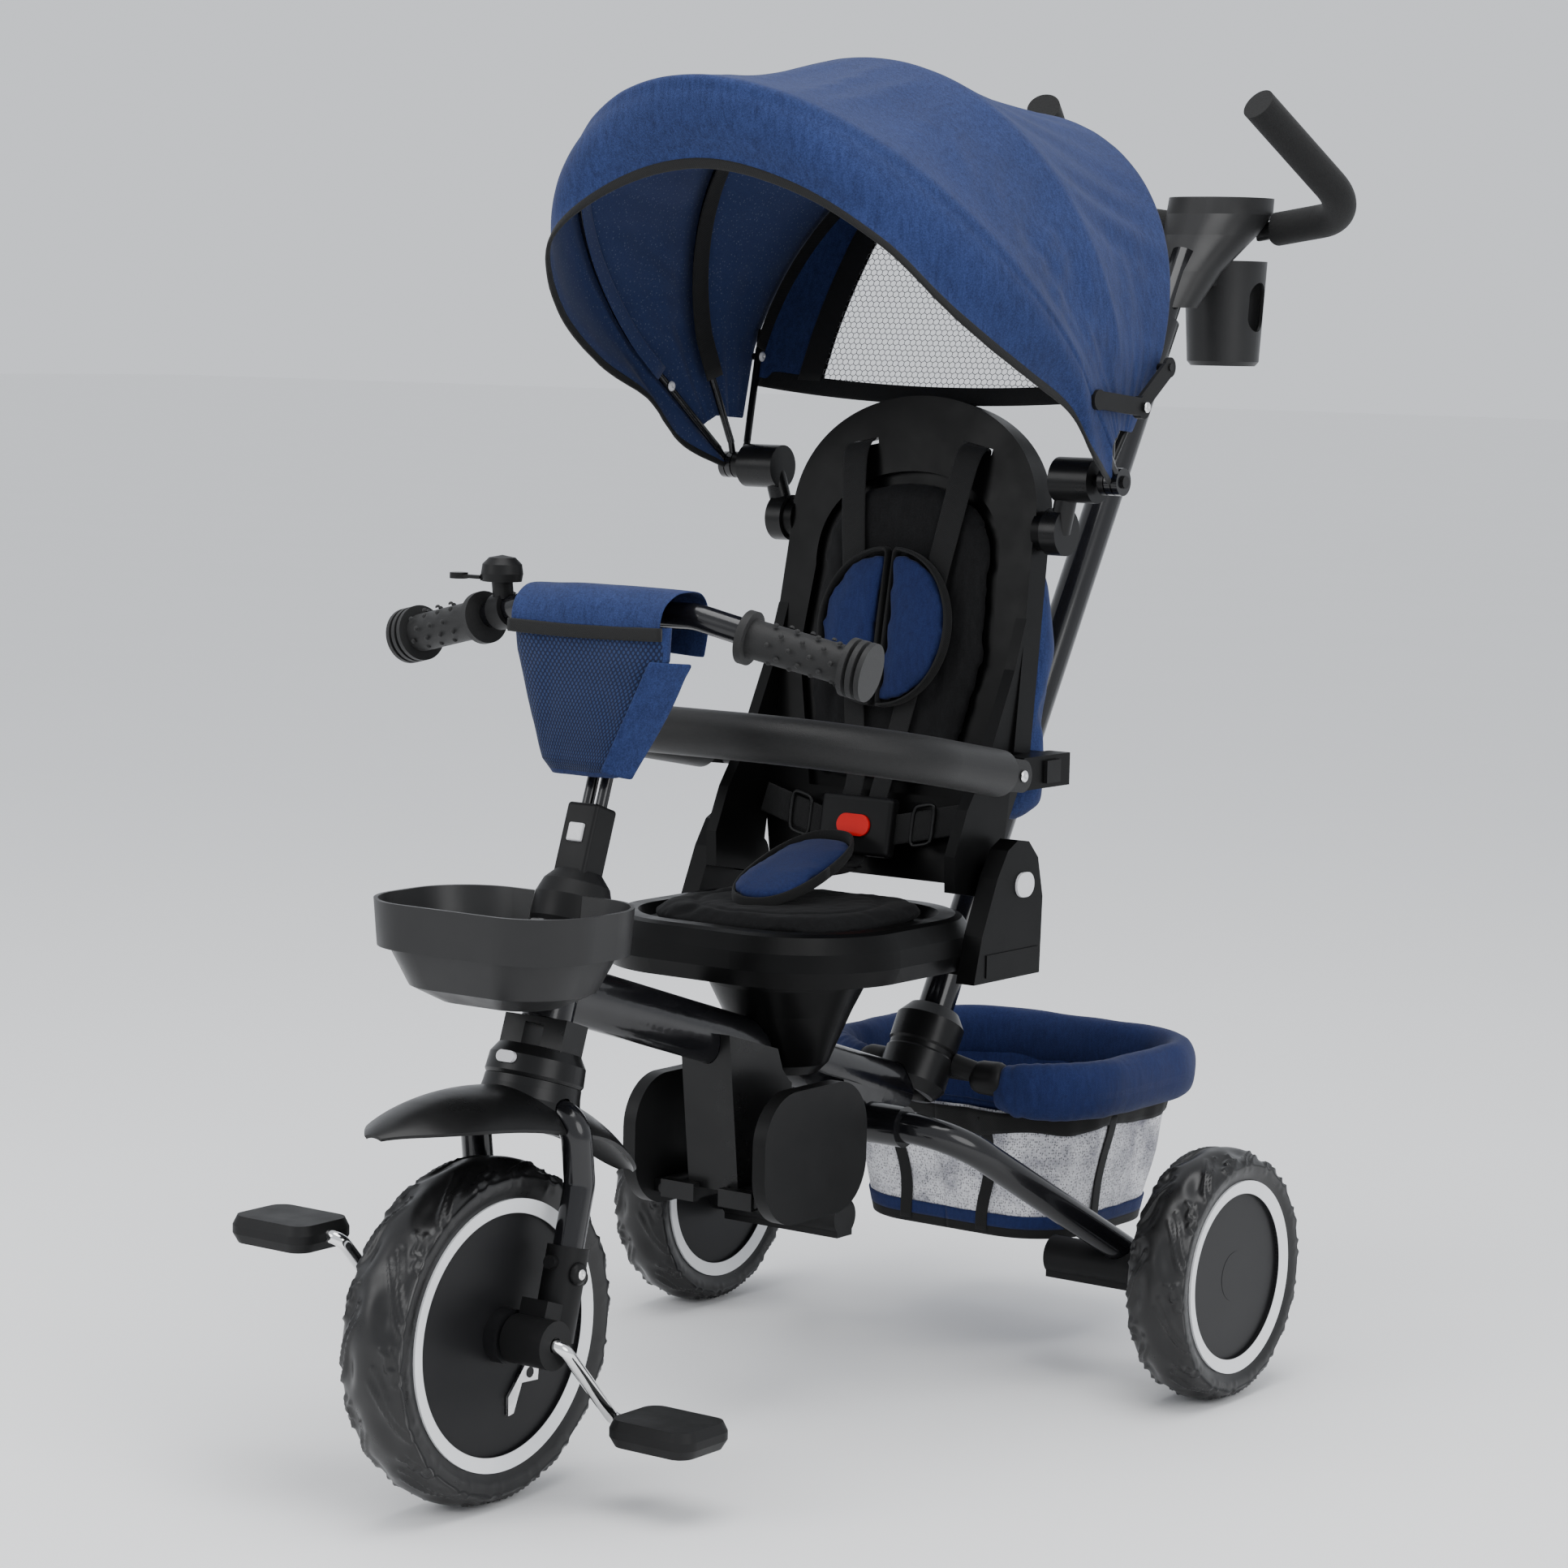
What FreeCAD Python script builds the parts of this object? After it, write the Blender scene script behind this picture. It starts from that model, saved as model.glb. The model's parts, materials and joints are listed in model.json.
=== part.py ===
import FreeCAD, Part
import math
import os

from FreeCAD import Placement, Rotation, Vector

# Folding push tricycle with canopy, for one child.
# Millimetres. +Z is up, the tricycle drives towards -Y, and its left side is +X.

doc = FreeCAD.newDocument("push_tricycle")
dims = doc.addObject("Spreadsheet::Sheet", "dims")

DRIVING = (
    ("front_tyre_radius", 127.0, "10 inch front wheel"),
    ("front_tyre_width", 56.0, "front tyre width"),
    ("rear_tyre_radius", 102.0, "8 inch rear wheels"),
    ("rear_tyre_width", 52.0, "rear tyre width"),
    ("wheelbase", 610.0, "front axle to rear axle"),
    ("rear_track", 518.0, "between the rear wheel mid planes"),
    ("rear_axle_y", 142.8, "rear axle, behind the middle of the whole length"),
    ("head_rake", 18.5, "steering axis, degrees back from upright"),
    ("fork_spread", 48.0, "fork leg, out from the middle"),
    ("fork_tube_radius", 11.5, "fork leg tube"),
    ("crank_reach", 88.0, "pedal spindle from the front axle"),
    ("crank_angle", 48.0, "left crank, degrees below level, pointing back"),
    ("crank_rod_radius", 5.0, "crank rod"),
    ("pedal_width", 76.0, "pedal, across"),
    ("pedal_length", 60.0, "pedal, front to back"),
    ("pedal_height", 20.0, "pedal, thickness"),
    ("head_tube_radius", 19.0, "head tube outside"),
    ("steerer_radius", 12.0, "steerer outside"),
    ("bar_radius", 10.0, "handlebar tube"),
    ("bar_height", 643.0, "middle of the handlebar above the ground"),
    ("grip_radius", 14.5, "handlebar grip"),
    ("main_tube_height", 44.0, "oval main tube, tall axis"),
    ("main_tube_width", 30.0, "oval main tube, wide axis"),
    ("rear_leg_radius", 12.5, "rear leg tube"),
    ("fold_axis_height", 221.0, "rear leg fold shaft above the ground"),
    ("fold_axis_ahead", 170.0, "rear leg fold shaft ahead of the rear axle"),
    ("seat_width", 266.0, "seat base, across"),
    ("seat_length", 260.0, "seat base, front to back"),
    ("seat_rim_height", 396.0, "top of the seat rim above the ground"),
    ("back_width", 250.0, "backrest, across"),
    ("back_height", 386.0, "backrest, above its recline pivot"),
    ("back_lean", 9.7, "backrest, degrees back from upright"),
    ("recline_height", 420.0, "recline pivot above the ground"),
    ("recline_ahead", 128.0, "recline pivot ahead of the rear axle"),
    ("push_lean", 30.1, "push tube, degrees back from upright"),
    ("sleeve_radius", 15.0, "push tube sleeve outside"),
    ("push_tube_radius", 11.5, "sliding push tube outside"),
    ("foam_radius", 15.0, "push handle foam grip"),
    ("canopy_height", 738.0, "canopy pivot above the ground"),
    ("canopy_ahead", 72.0, "canopy pivot ahead of the rear axle"),
    ("running_gap", 0.06, "radial clearance of a running fit"),
    ("rest_gap", 0.3, "gap between parts that rest against each other"),
)

for row, (alias, value, note) in enumerate(DRIVING, start=1):
    dims.set("A%d" % row, note)
    dims.set("B%d" % row, str(value))
    dims.setAlias("B%d" % row, alias)
doc.recompute()

UP = Vector(0, 0, 1)
LEFT = Vector(1, 0, 0)
SIDES = ((1, "left"), (-1, "right"))
nodes = []


def dim(alias):
    return float(dims.get(alias))


def at(x, y, z):
    """A place: x to the left, y behind the rear axle, z above the ground."""
    return Vector(x, y + dim("rear_axle_y"), z)


def solid(label, shape):
    """A sub-part whose shape is worked out from the sheet."""
    feature = doc.addObject("Part::Feature", label)
    feature.Label = label
    feature.Shape = shape
    nodes.append(feature)
    return feature


def primitive(kind, base, axis=UP, **sizes):
    """A Part primitive whose sizes are expressions on the sheet."""
    feature = doc.addObject("Part::" + kind, kind)
    for name, expression in sizes.items():
        feature.setExpression(name, expression)
    feature.Placement = Placement(base, Rotation(UP, axis))
    return feature


def united(label, features):
    union = doc.addObject("Part::MultiFuse", label)
    union.Shapes = features
    union.Label = label
    return union


def less(label, base, tools):
    tool = tools[0] if len(tools) == 1 else united(label + "_tools", tools)
    cut = doc.addObject("Part::Cut", label)
    cut.Base = base
    cut.Tool = tool
    cut.Label = label
    return cut


def node(feature):
    nodes.append(feature)
    return feature


def rod(start, end, radius):
    """A round bar between two places."""
    return Part.makeCylinder(radius, (end - start).Length, start, end - start)


def rounded_path(points, bend):
    """A polyline whose corners are arcs of the given bend radius."""
    edges = []
    last = points[0]
    for before, corner, after in zip(points, points[1:], points[2:]):
        inward = (before - corner).normalize()
        outward = (after - corner).normalize()
        half = inward.getAngle(outward) / 2
        reach = bend / math.tan(half)
        middle = corner + (inward + outward).normalize() * (bend / math.sin(half) - bend)
        first = corner + inward * reach
        second = corner + outward * reach
        edges.append(Part.makeLine(last, first))
        edges.append(Part.Arc(first, middle, second).toShape())
        last = second
    edges.append(Part.makeLine(last, points[-1]))
    return Part.Wire(edges)


def bent_tube(points, bend, radius, bore=0.0):
    """A round tube swept along a path with rounded bends."""
    path = rounded_path(points, bend)
    return swept(path, points[0], points[1] - points[0], radius, bore)


def swept(path, start, direction, radius, bore=0.0):
    ring = Part.Wire(Part.makeCircle(radius, start, direction))
    body = path.makePipeShell([ring], True, False)
    if bore > 0:
        core = path.makePipeShell([Part.Wire(Part.makeCircle(bore, start, direction))], True, False)
        body = body.cut(core)
    return body


def outline(points, closed=True):
    """A straight-sided wire through places."""
    return Part.makePolygon(points + points[:1] if closed else points)


def prism(points, direction):
    return Part.Face(outline(points)).extrude(direction)


def rounded_rectangle(width, length, radius, centre):
    """A level rectangle with round corners, as a wire."""
    a = width / 2 - radius
    b = length / 2 - radius
    edges = []
    for sx, sy, begin in ((1, 1, 0), (-1, 1, 90), (-1, -1, 180), (1, -1, 270)):
        corner = centre + Vector(sx * a, sy * b, 0)
        edges.append(Part.makeCircle(radius, corner, UP, begin, begin + 90))
    wire = []
    for edge, following in zip(edges, edges[1:] + edges[:1]):
        wire.append(edge)
        wire.append(Part.makeLine(edge.lastVertex().Point, following.firstVertex().Point))
    return Part.Wire(wire)


def level_loft(sections):
    """A solid through level round-cornered rectangles: (width, length, radius, centre)."""
    wires = [rounded_rectangle(*section) for section in sections]
    return Part.makeLoft(wires, True, True)


def turned(profile, base, axis):
    """A profile of (radius, height) points, turned about an axis."""
    points = [Vector(radius, 0, height) for radius, height in profile]
    face = Part.Face(outline(points))
    body = face.revolve(Vector(0, 0, 0), UP, 360)
    body.Placement = Placement(base, Rotation(UP, axis))
    return body


def softened(shape, radius):
    """Every edge of a shape rounded."""
    return shape.makeFillet(radius, shape.Edges)


# Steering axis: it passes through the front axle.
rake = math.radians(dim("head_rake"))
HEAD_UP = Vector(0, math.sin(rake), math.cos(rake))
HEAD_AHEAD = Vector(0, -math.cos(rake), math.sin(rake))
FRONT_AXLE = at(0, -dim("wheelbase"), dim("front_tyre_radius"))


def on_head(up, ahead=0.0, side=0.0):
    """A place measured up the steering axis, ahead of it and to the left."""
    return FRONT_AXLE + HEAD_UP * up + HEAD_AHEAD * ahead + LEFT * side


def head_block(low, high, width, ahead, behind, side=0.0):
    """A block lined up with the steering axis."""
    corners = [on_head(low, ahead, side - width / 2), on_head(low, ahead, side + width / 2),
               on_head(low, -behind, side + width / 2), on_head(low, -behind, side - width / 2)]
    return prism(corners, HEAD_UP * (high - low))


# Front wheel: a soft tyre, and a disc that carries the white ring.
tyre_r = dim("front_tyre_radius")
gap = dim("rest_gap")


def tyre(radius, width, seat_radius, centre):
    """A tyre with a rounded tread, seated on a rim of seat_radius."""
    half = width / 2
    shoulder = radius - 0.42 * half
    section = [Vector(seat_radius, 0, -half + 3), Vector(shoulder, 0, -half)]
    crown = Part.Arc(section[1], Vector(radius, 0, 0), Vector(shoulder, 0, half)).toShape()
    rest = Part.makePolygon([Vector(shoulder, 0, half), Vector(seat_radius, 0, half - 3), section[0]])
    face = Part.Face(Part.Wire([Part.makeLine(section[0], section[1]), crown] + rest.Edges))
    body = face.revolve(Vector(0, 0, 0), UP, 360)
    body.Placement = Placement(centre, Rotation(UP, LEFT))
    return body


def rim(radius, width, bore, centre):
    """A wheel disc with a raised ring at its edge and a hub boss, bored for the axle."""
    half = width / 2
    profile = [(bore, -half - 4), (20, -half - 4), (20, -half + 7), (radius - 11, -half + 7),
               (radius - 11, -half + 4), (radius, -half + 1.5), (radius, half - 1.5),
               (radius - 11, half - 4), (radius - 11, half - 7), (20, half - 7), (20, half + 4),
               (bore, half + 4)]
    return turned(profile, centre, LEFT)


FRONT_RIM_RADIUS = 0.785 * tyre_r
axle_bore = 6.0 + dim("running_gap")
solid("front_tyre", tyre(tyre_r, dim("front_tyre_width"), FRONT_RIM_RADIUS + gap, FRONT_AXLE))
front_rim = rim(FRONT_RIM_RADIUS, dim("front_tyre_width"), axle_bore, FRONT_AXLE)
LEVER_PIVOT = FRONT_AXLE + Vector(0, 30, -33)
lever_post = rod(LEVER_PIVOT + LEFT * 19, LEVER_PIVOT + LEFT * 24.5, 4.0)
solid("front_rim", front_rim.fuse(lever_post))

# Freewheel lever: a bent plate that turns on a post on the wheel disc.
lever_points = [(-9, -6), (9, -7), (10, 5), (-6, 6), (-24, -14), (-24, -28), (-18, -27)]
lever_plate = prism([LEVER_PIVOT + Vector(21.8, y, z) for y, z in lever_points], LEFT * 2.4)
lever_hole = rod(LEVER_PIVOT + LEFT * 20, LEVER_PIVOT + LEFT * 26, 4.0 + dim("running_gap"))
solid("freewheel_lever", lever_plate.cut(lever_hole))

# Crank axle: one bent rod through the hub, with a pedal spindle at each end.
crank = math.radians(dim("crank_angle"))
CRANK_OUT = Vector(0, math.cos(crank), -math.sin(crank))


def pedal_centre(side):
    reach = CRANK_OUT * (side * dim("crank_reach"))
    return FRONT_AXLE + LEFT * (side * 130) + reach


def crank_half(side):
    """Half of the axle: out from the hub, along the crank and out as a spindle."""
    reach = CRANK_OUT * (side * dim("crank_reach"))
    points = [FRONT_AXLE, FRONT_AXLE + LEFT * (side * 79),
              FRONT_AXLE + LEFT * (side * 81) + reach, FRONT_AXLE + LEFT * (side * 159) + reach]
    return bent_tube(points, 9, dim("crank_rod_radius"))


hub_shaft = rod(FRONT_AXLE - LEFT * 69, FRONT_AXLE + LEFT * 69, 6.0)
solid("crank_axle", crank_half(1).fuse([crank_half(-1), hub_shaft]))

for side, name in SIDES:
    centre = pedal_centre(side)
    body = level_loft([
        (dim("pedal_width") - 8, dim("pedal_length") - 6, 12, centre - UP * dim("pedal_height") / 2),
        (dim("pedal_width"), dim("pedal_length"), 14, centre - UP * 3),
        (dim("pedal_width"), dim("pedal_length"), 14, centre + UP * 3),
        (dim("pedal_width") - 6, dim("pedal_length") - 6, 12, centre + UP * dim("pedal_height") / 2),
    ])
    spindle_end = centre + LEFT * (side * 29.5)
    spindle_hole = rod(centre - LEFT * (side * 50), spindle_end, dim("crank_rod_radius") + dim("running_gap"))
    solid("pedal_" + name, body.cut(spindle_hole))

# Fork: two bent legs under the cowl, set back lower down, and a moulded socket at the foot of each.
LEG_FOOT = 30.0
CROWN = 168.0
FOOT_BACK = 24.0
BEND_UP = 118.0
BEND_BACK = 18.0


def fork_leg(side, radius, bore=0.0):
    spread = side * dim("fork_spread")
    points = [on_head(CROWN, 2, side * 12), on_head(CROWN - 8, 2, spread),
              on_head(BEND_UP, -BEND_BACK, spread),
              on_head(LEG_FOOT, -FOOT_BACK, spread)]
    return bent_tube(points, 17, radius, bore)


crown_bar = rod(on_head(CROWN, 2, -13), on_head(CROWN, 2, 13), dim("fork_tube_radius"))
fork_tubes = [fork_leg(side, dim("fork_tube_radius"), dim("fork_tube_radius") - 1.5) for side in (1, -1)]
solid("fork_legs", crown_bar.fuse(fork_tubes))


def fork_socket(side):
    """A barrel across the axle, and a cup set back from it that the leg stands in."""
    spread = side * dim("fork_spread")
    slope = (FOOT_BACK - BEND_BACK) / (BEND_UP - LEG_FOOT)

    def on_leg(up, ahead=0.0):
        return on_head(up, ahead - FOOT_BACK + slope * (up - LEG_FOOT), spread)

    barrel = rod(FRONT_AXLE + LEFT * (side * 35), FRONT_AXLE + LEFT * (side * 72), 18.0)
    cup = rod(on_leg(4), on_leg(72), 15.5)
    web = head_block(-14, 30, 24, 4, 26, spread)
    boss = rod(on_leg(52, -15), on_leg(52, -21), 6.5)
    ear = rod(on_leg(58, 14), on_leg(58, 20), 5.0)
    inside = rod(on_leg(LEG_FOOT - gap), on_leg(90), dim("fork_tube_radius") + gap)
    bore = rod(FRONT_AXLE + LEFT * (side * 30), FRONT_AXLE + LEFT * (side * 76), axle_bore)
    return barrel.fuse([cup, web, boss, ear]).cut(inside).cut(bore)


solid("fork_sockets", Part.makeCompound([fork_socket(1), fork_socket(-1)]))

# Cowl: a bell-shaped cover over the crown, cut where the legs come out.
cowl = turned([(36, 184), (36.5, 178), (38, 170), (41, 162), (46, 154), (54, 144), (60, 138), (56.5, 138),
               (51, 143), (43, 153), (38, 161), (35, 170), (33.5, 181.5), (14, 181.5), (14, 184)],
              FRONT_AXLE, HEAD_UP)

# Fender: a thin saddle with a point at each end, lower at its sides.
FENDER_RADIUS = 255.7
FENDER_THICK = 2.6
FENDER_RIBS = ((-22.6, 8, 2), (-17, 28, 9), (-8, 43, 19), (5, 49, 26), (18, 48, 26), (31, 36, 17),
               (42, 22, 8), (48.6, 8, 2))
fender_centre = at(0, -628.8, 51.9)


def fender_rib(turn, half_width, drop):
    """One cross-section: an arch of even thickness, turned about the fender's own centre."""
    angle = math.radians(turn)
    outward = Vector(0, math.sin(angle), math.cos(angle))
    crest = fender_centre + outward * FENDER_RADIUS
    edges = []
    for lift in (0.0, -FENDER_THICK):
        left = crest + outward * (lift - drop) + LEFT * (half_width + lift / 2)
        right = crest + outward * (lift - drop) - LEFT * (half_width + lift / 2)
        edges.append(Part.Arc(left, crest + outward * lift, right).toShape())
    upper, lower = edges
    ends = [Part.makeLine(upper.lastVertex().Point, lower.lastVertex().Point),
            Part.makeLine(lower.firstVertex().Point, upper.firstVertex().Point)]
    return Part.Wire([upper, ends[0], lower, ends[1]])


fender = Part.makeLoft([fender_rib(*rib) for rib in FENDER_RIBS], True, False)
legs_room = Part.makeCompound([fork_leg(1, dim("fork_tube_radius") + 1.2),
                               fork_leg(-1, dim("fork_tube_radius") + 1.2),
                               rod(on_head(CROWN, 2, -20), on_head(CROWN, 2, 20),
                                   dim("fork_tube_radius") + 1.2)])
solid("front_fender", fender.cut(legs_room).cut(rod(on_head(140), on_head(260), 30)))

under_fender = Part.makeCylinder(FENDER_RADIUS - 24, 140, fender_centre - LEFT * 70, LEFT)
solid("fork_cowl", cowl.cut(fender.fuse(under_fender)).cut(legs_room))

# Steering column: a clutch cap, two struts with a slot between them, and the steerer.
HEAD_LOW = 231.0
HEAD_HIGH = 300.0


def stadium(width, height, depth, centre, out, up):
    """A block with round ends, facing along out."""
    flat = (width - height) / 2
    radius = height / 2
    right_end = Part.makeCircle(radius, Vector(flat, 0, 0), UP, -90, 90)
    left_end = Part.makeCircle(radius, Vector(-flat, 0, 0), UP, 90, 270)
    lines = [Part.makeLine(Vector(flat, radius, 0), Vector(-flat, radius, 0)),
             Part.makeLine(Vector(-flat, -radius, 0), Vector(flat, -radius, 0))]
    face = Part.Face(Part.Wire([right_end, lines[0], left_end, lines[1]]))
    body = face.extrude(UP * depth)
    body.Placement = Placement(centre, Rotation(up.cross(out), up, out, "ZXY"))
    return body


cap = turned([(0, 184.3), (35.5, 184.3), (37, 187), (36, 200), (31, 208), (0, 208)], FRONT_AXLE, HEAD_UP)
struts = [head_block(206, 230.6, 20, 13, 13, side * 19) for side in (1, -1)]
bridge = head_block(226, 230.6, 58, 13, 13)
steerer = rod(on_head(228), on_head(338), dim("steerer_radius"))
button_well = stadium(17, 9, 14, on_head(196, 25), HEAD_AHEAD, HEAD_UP)
solid("steering_column", cap.fuse(struts + [bridge, steerer]).cut(button_well))
solid("clutch_button", stadium(16.6, 8.6, 9.5, on_head(196, 29), HEAD_AHEAD, HEAD_UP))

# Height clamp: a domed knuckle on the steerer, and a block that holds the two handlebar rods.
ROD_SPREAD = 6.5
ROD_RADIUS = 4.5
knuckle = turned([(0, 300.5), (28, 300.5), (29, 304), (29, 322), (25, 333), (17, 342), (0, 344)],
                 FRONT_AXLE, HEAD_UP)
clamp = softened(head_block(334, 392, 29, 14, 11), 3)
steerer_socket = rod(on_head(290), on_head(338 + gap), dim("steerer_radius") + gap)
rod_bores = [rod(on_head(343, 0, side * ROD_SPREAD), on_head(400, 0, side * ROD_SPREAD),
                 ROD_RADIUS + dim("running_gap")) for side in (1, -1)]
height_well = head_block(361.7, 376.3, 13.6, 20, -5.4)
solid("height_clamp", knuckle.fuse(clamp).cut(Part.makeCompound([steerer_socket, height_well])).cut(
    Part.makeCompound(rod_bores)))
solid("height_button", softened(head_block(362, 376, 13, 17, -9), 1.5))

# Front tray: an open tub with a deep rim band, notched around the head tube.
TRAY_Y = -588.0


def tray_section(width, length, radius, height):
    return (width, length, radius, at(0, TRAY_Y, height))


tray_band = level_loft([tray_section(186, 126, 50, 404), tray_section(192, 130, 52, 438)])
tray_tub = level_loft([tray_section(96, 60, 28, 365), tray_section(142, 96, 42, 376),
                       tray_section(172, 116, 48, 405)])
tray_void = level_loft([tray_section(91, 55, 25.5, 367.5), tray_section(137, 91, 40, 378.5),
                        tray_section(166, 110, 45, 405), tray_section(187, 125, 49.5, 440)])
head_room = rod(on_head(200), on_head(420), dim("head_tube_radius") + 3)
knuckle_room = rod(on_head(HEAD_HIGH - 3), on_head(420), 29 + gap)
tray = tray_band.fuse(tray_tub).cut(tray_void).cut(head_room).cut(knuckle_room)
solid("front_tray", tray)

# Handlebar: twin rods, a stem block and one bent bar.
BAR_Y = -470.0
SHOULDER = (80.0, BAR_Y, dim("bar_height"))
GRIP_IN = (122.0, -467.0, 631.0)
GRIP_OUT = (213.0, -447.0, 611.0)


def sided(place, side):
    return at(side * place[0], place[1], place[2])


bar_points = [sided(GRIP_OUT, -1), sided(SHOULDER, -1), sided(SHOULDER, 1), sided(GRIP_OUT, 1)]
bar = bent_tube(bar_points, 40, dim("bar_radius"), dim("bar_radius") - 1.5)
stem = softened(head_block(504, 546, 28, 42, 8), 2)
rods = [rod(on_head(345, 0, side * ROD_SPREAD), on_head(510, 0, side * ROD_SPREAD), ROD_RADIUS)
        for side in (1, -1)]
solid("handlebar", bar.fuse([stem] + rods))


def grip(side):
    """A ribbed sleeve with a guard flange inside and three discs at its end."""
    inner = sided(GRIP_IN, side)
    outer = sided(GRIP_OUT, side)
    along = (outer - inner).normalize()
    sleeve = rod(inner, outer + along * 6, dim("grip_radius"))
    guard = rod(inner, inner + along * 6, 20)
    discs = [rod(outer + along * (6 - offset - 4), outer + along * (6 - offset), 21.5)
             for offset in (0, 7, 14)]
    start = (sided(SHOULDER, side) - outer).normalize()
    bore = rod(outer + along * 0.4, outer + start * 150, dim("bar_radius") + 0.15)
    return sleeve.fuse([guard] + discs).cut(bore)


solid("handlebar_grips", Part.makeCompound([grip(1), grip(-1)]))

# Bell: a band on the right of the bar, with a dome and a thumb lever.
bar_slope = (sided(GRIP_OUT, -1) - sided(SHOULDER, -1)).normalize()
BELL = sided(SHOULDER, -1) + bar_slope * 26
BELL_TOP = BELL + Vector(0, -4, 30)
band = rod(BELL - bar_slope * 7, BELL + bar_slope * 7, 14)
stalk = rod(BELL + Vector(0, -2, 10), BELL_TOP - UP * 7, 8)
dome = turned([(0, -8), (15, -8), (16, -2), (15, 5), (10, 10), (0, 12)], BELL_TOP, UP)
band_bore = rod(BELL - bar_slope * 20, BELL + bar_slope * 20, dim("bar_radius") + 0.15)
lever_way = Part.makeBox(14, 16, 4, BELL_TOP + Vector(-22, -14, -7.2))
BELL_PIVOT = BELL_TOP + Vector(-12, -9, -5.2)
bell_pin = rod(BELL_PIVOT - UP * 2.4, BELL_PIVOT + UP * 2.4, 1.5)
solid("bell_body", band.fuse([stalk, dome]).cut(band_bore).cut(lever_way).fuse(bell_pin))
bell_arm = Part.makeBox(20, 7, 2.6, BELL_PIVOT + Vector(-20, -3.5, -1.3))
bell_tip = Part.makeCylinder(7, 4.5, BELL_PIVOT + Vector(-23, 0, -2), UP)
solid("bell_lever", bell_arm.fuse(bell_tip).cut(rod(BELL_PIVOT - UP * 3, BELL_PIVOT + UP * 3, 1.56)))

# Handlebar bag: a soft pouch ahead of the rods that folds over the bar.
pouch = Part.makeLoft([
    rounded_rectangle(72, 30, 8, at(4, -497, 524)),
    rounded_rectangle(116, 38, 8, at(2, -491, 590)),
    rounded_rectangle(160, 44, 8, at(0, -483, 658)),
], True, True)
bar_room = bent_tube(bar_points, 40, dim("bar_radius") + 0.8)
stem_room = Part.makeBox(34, 82, 200, at(-17, -491, 500))
slot_out = Part.makeBox(240, 40, 7, at(-120, -466, dim("bar_height") - 14))
solid("handlebar_bag", pouch.cut(bar_room).cut(stem_room).cut(slot_out))

# Main frame: head tube, oval main tube and the fold shaft under it, welded together.
MAIN_FRONT = at(0, -529, 367.5)
MAIN_REAR = at(0, -78, 229)
main_way = (MAIN_REAR - MAIN_FRONT).normalize()


def oval_bar(start, end, grow=0.0):
    """The main tube's oval, tall axis upright, run between two places."""
    along = (end - start).normalize()
    ellipse = Part.Ellipse(Vector(0, 0, 0), dim("main_tube_height") / 2 + grow,
                           dim("main_tube_width") / 2 + grow)
    face = Part.Face(Part.Wire([ellipse.toShape()]))
    body = face.extrude(UP * (end - start).Length)
    body.Placement = Placement(start, Rotation(along.cross(LEFT), LEFT, along, "ZYX"))
    return body


FOLD_AXIS = at(0, -dim("fold_axis_ahead"), dim("fold_axis_height"))
main_tube = oval_bar(MAIN_FRONT, MAIN_REAR).cut(oval_bar(MAIN_FRONT, MAIN_REAR, -2.0))
head_tube = rod(on_head(HEAD_LOW), on_head(HEAD_HIGH), dim("head_tube_radius"))
fold_shaft = rod(FOLD_AXIS - LEFT * 63, FOLD_AXIS + LEFT * 63, 9)
ears = [prism([FOLD_AXIS + Vector(side * 25 - 5, y, z) for y, z in
               ((-30, 38), (28, 20), (14, -10), (-14, -12))], LEFT * 10) for side in (1, -1)]
spacer = rod(FOLD_AXIS - LEFT * 25, FOLD_AXIS + LEFT * 25, 14)
tube_core = oval_bar(MAIN_FRONT, MAIN_REAR, -2.0)
bearing = rod(on_head(HEAD_LOW - 40), on_head(HEAD_HIGH + 20), dim("steerer_radius") + dim("running_gap"))
below_head = head_block(HEAD_LOW - 60, HEAD_LOW, 90, 60, 44)
main_frame = main_tube.fuse([head_tube, spacer] + ears).cut(tube_core.cut(head_tube))
main_frame = main_frame.fuse(fold_shaft).cut(bearing).cut(below_head)
solid("main_frame", main_frame)

# Footrests: a bracket under the main tube, and a pad on each side that swings up beside it.
REST_PIN = (44.0, -290.0, 182.0)
REST_BACK = -222.0
REST_FRONT = -357.0
bracket_outline = ((-345, 312), (-281.5, 293.5), (-274.5, 276), (-266, 266.8), (-262, 264), (-262, 205),
                   (-285, 180), (-330, 186))
bracket = prism([at(-24, y, z) for y, z in bracket_outline], LEFT * 48)
tube_room = oval_bar(MAIN_FRONT, MAIN_REAR, gap)


def rest_pin(side):
    """A pin along the tricycle, held at both ends by arms of the bracket."""
    x = side * REST_PIN[0]
    pin = rod(at(x, -338, REST_PIN[2]), at(x, -242, REST_PIN[2]), 4)
    arms = [Part.makeBox(32, 8, 14, at(min(x, x - side * 32), y, REST_PIN[2] - 6)) for y in (-340, -248)]
    web = Part.makeBox(10, 100, 14, at(side * 22 - 5, -340, REST_PIN[2] - 6))
    return [pin, web] + arms


bracket = bracket.fuse(rest_pin(1) + rest_pin(-1)).cut(tube_room)
solid("footrest_bracket", bracket)


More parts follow.
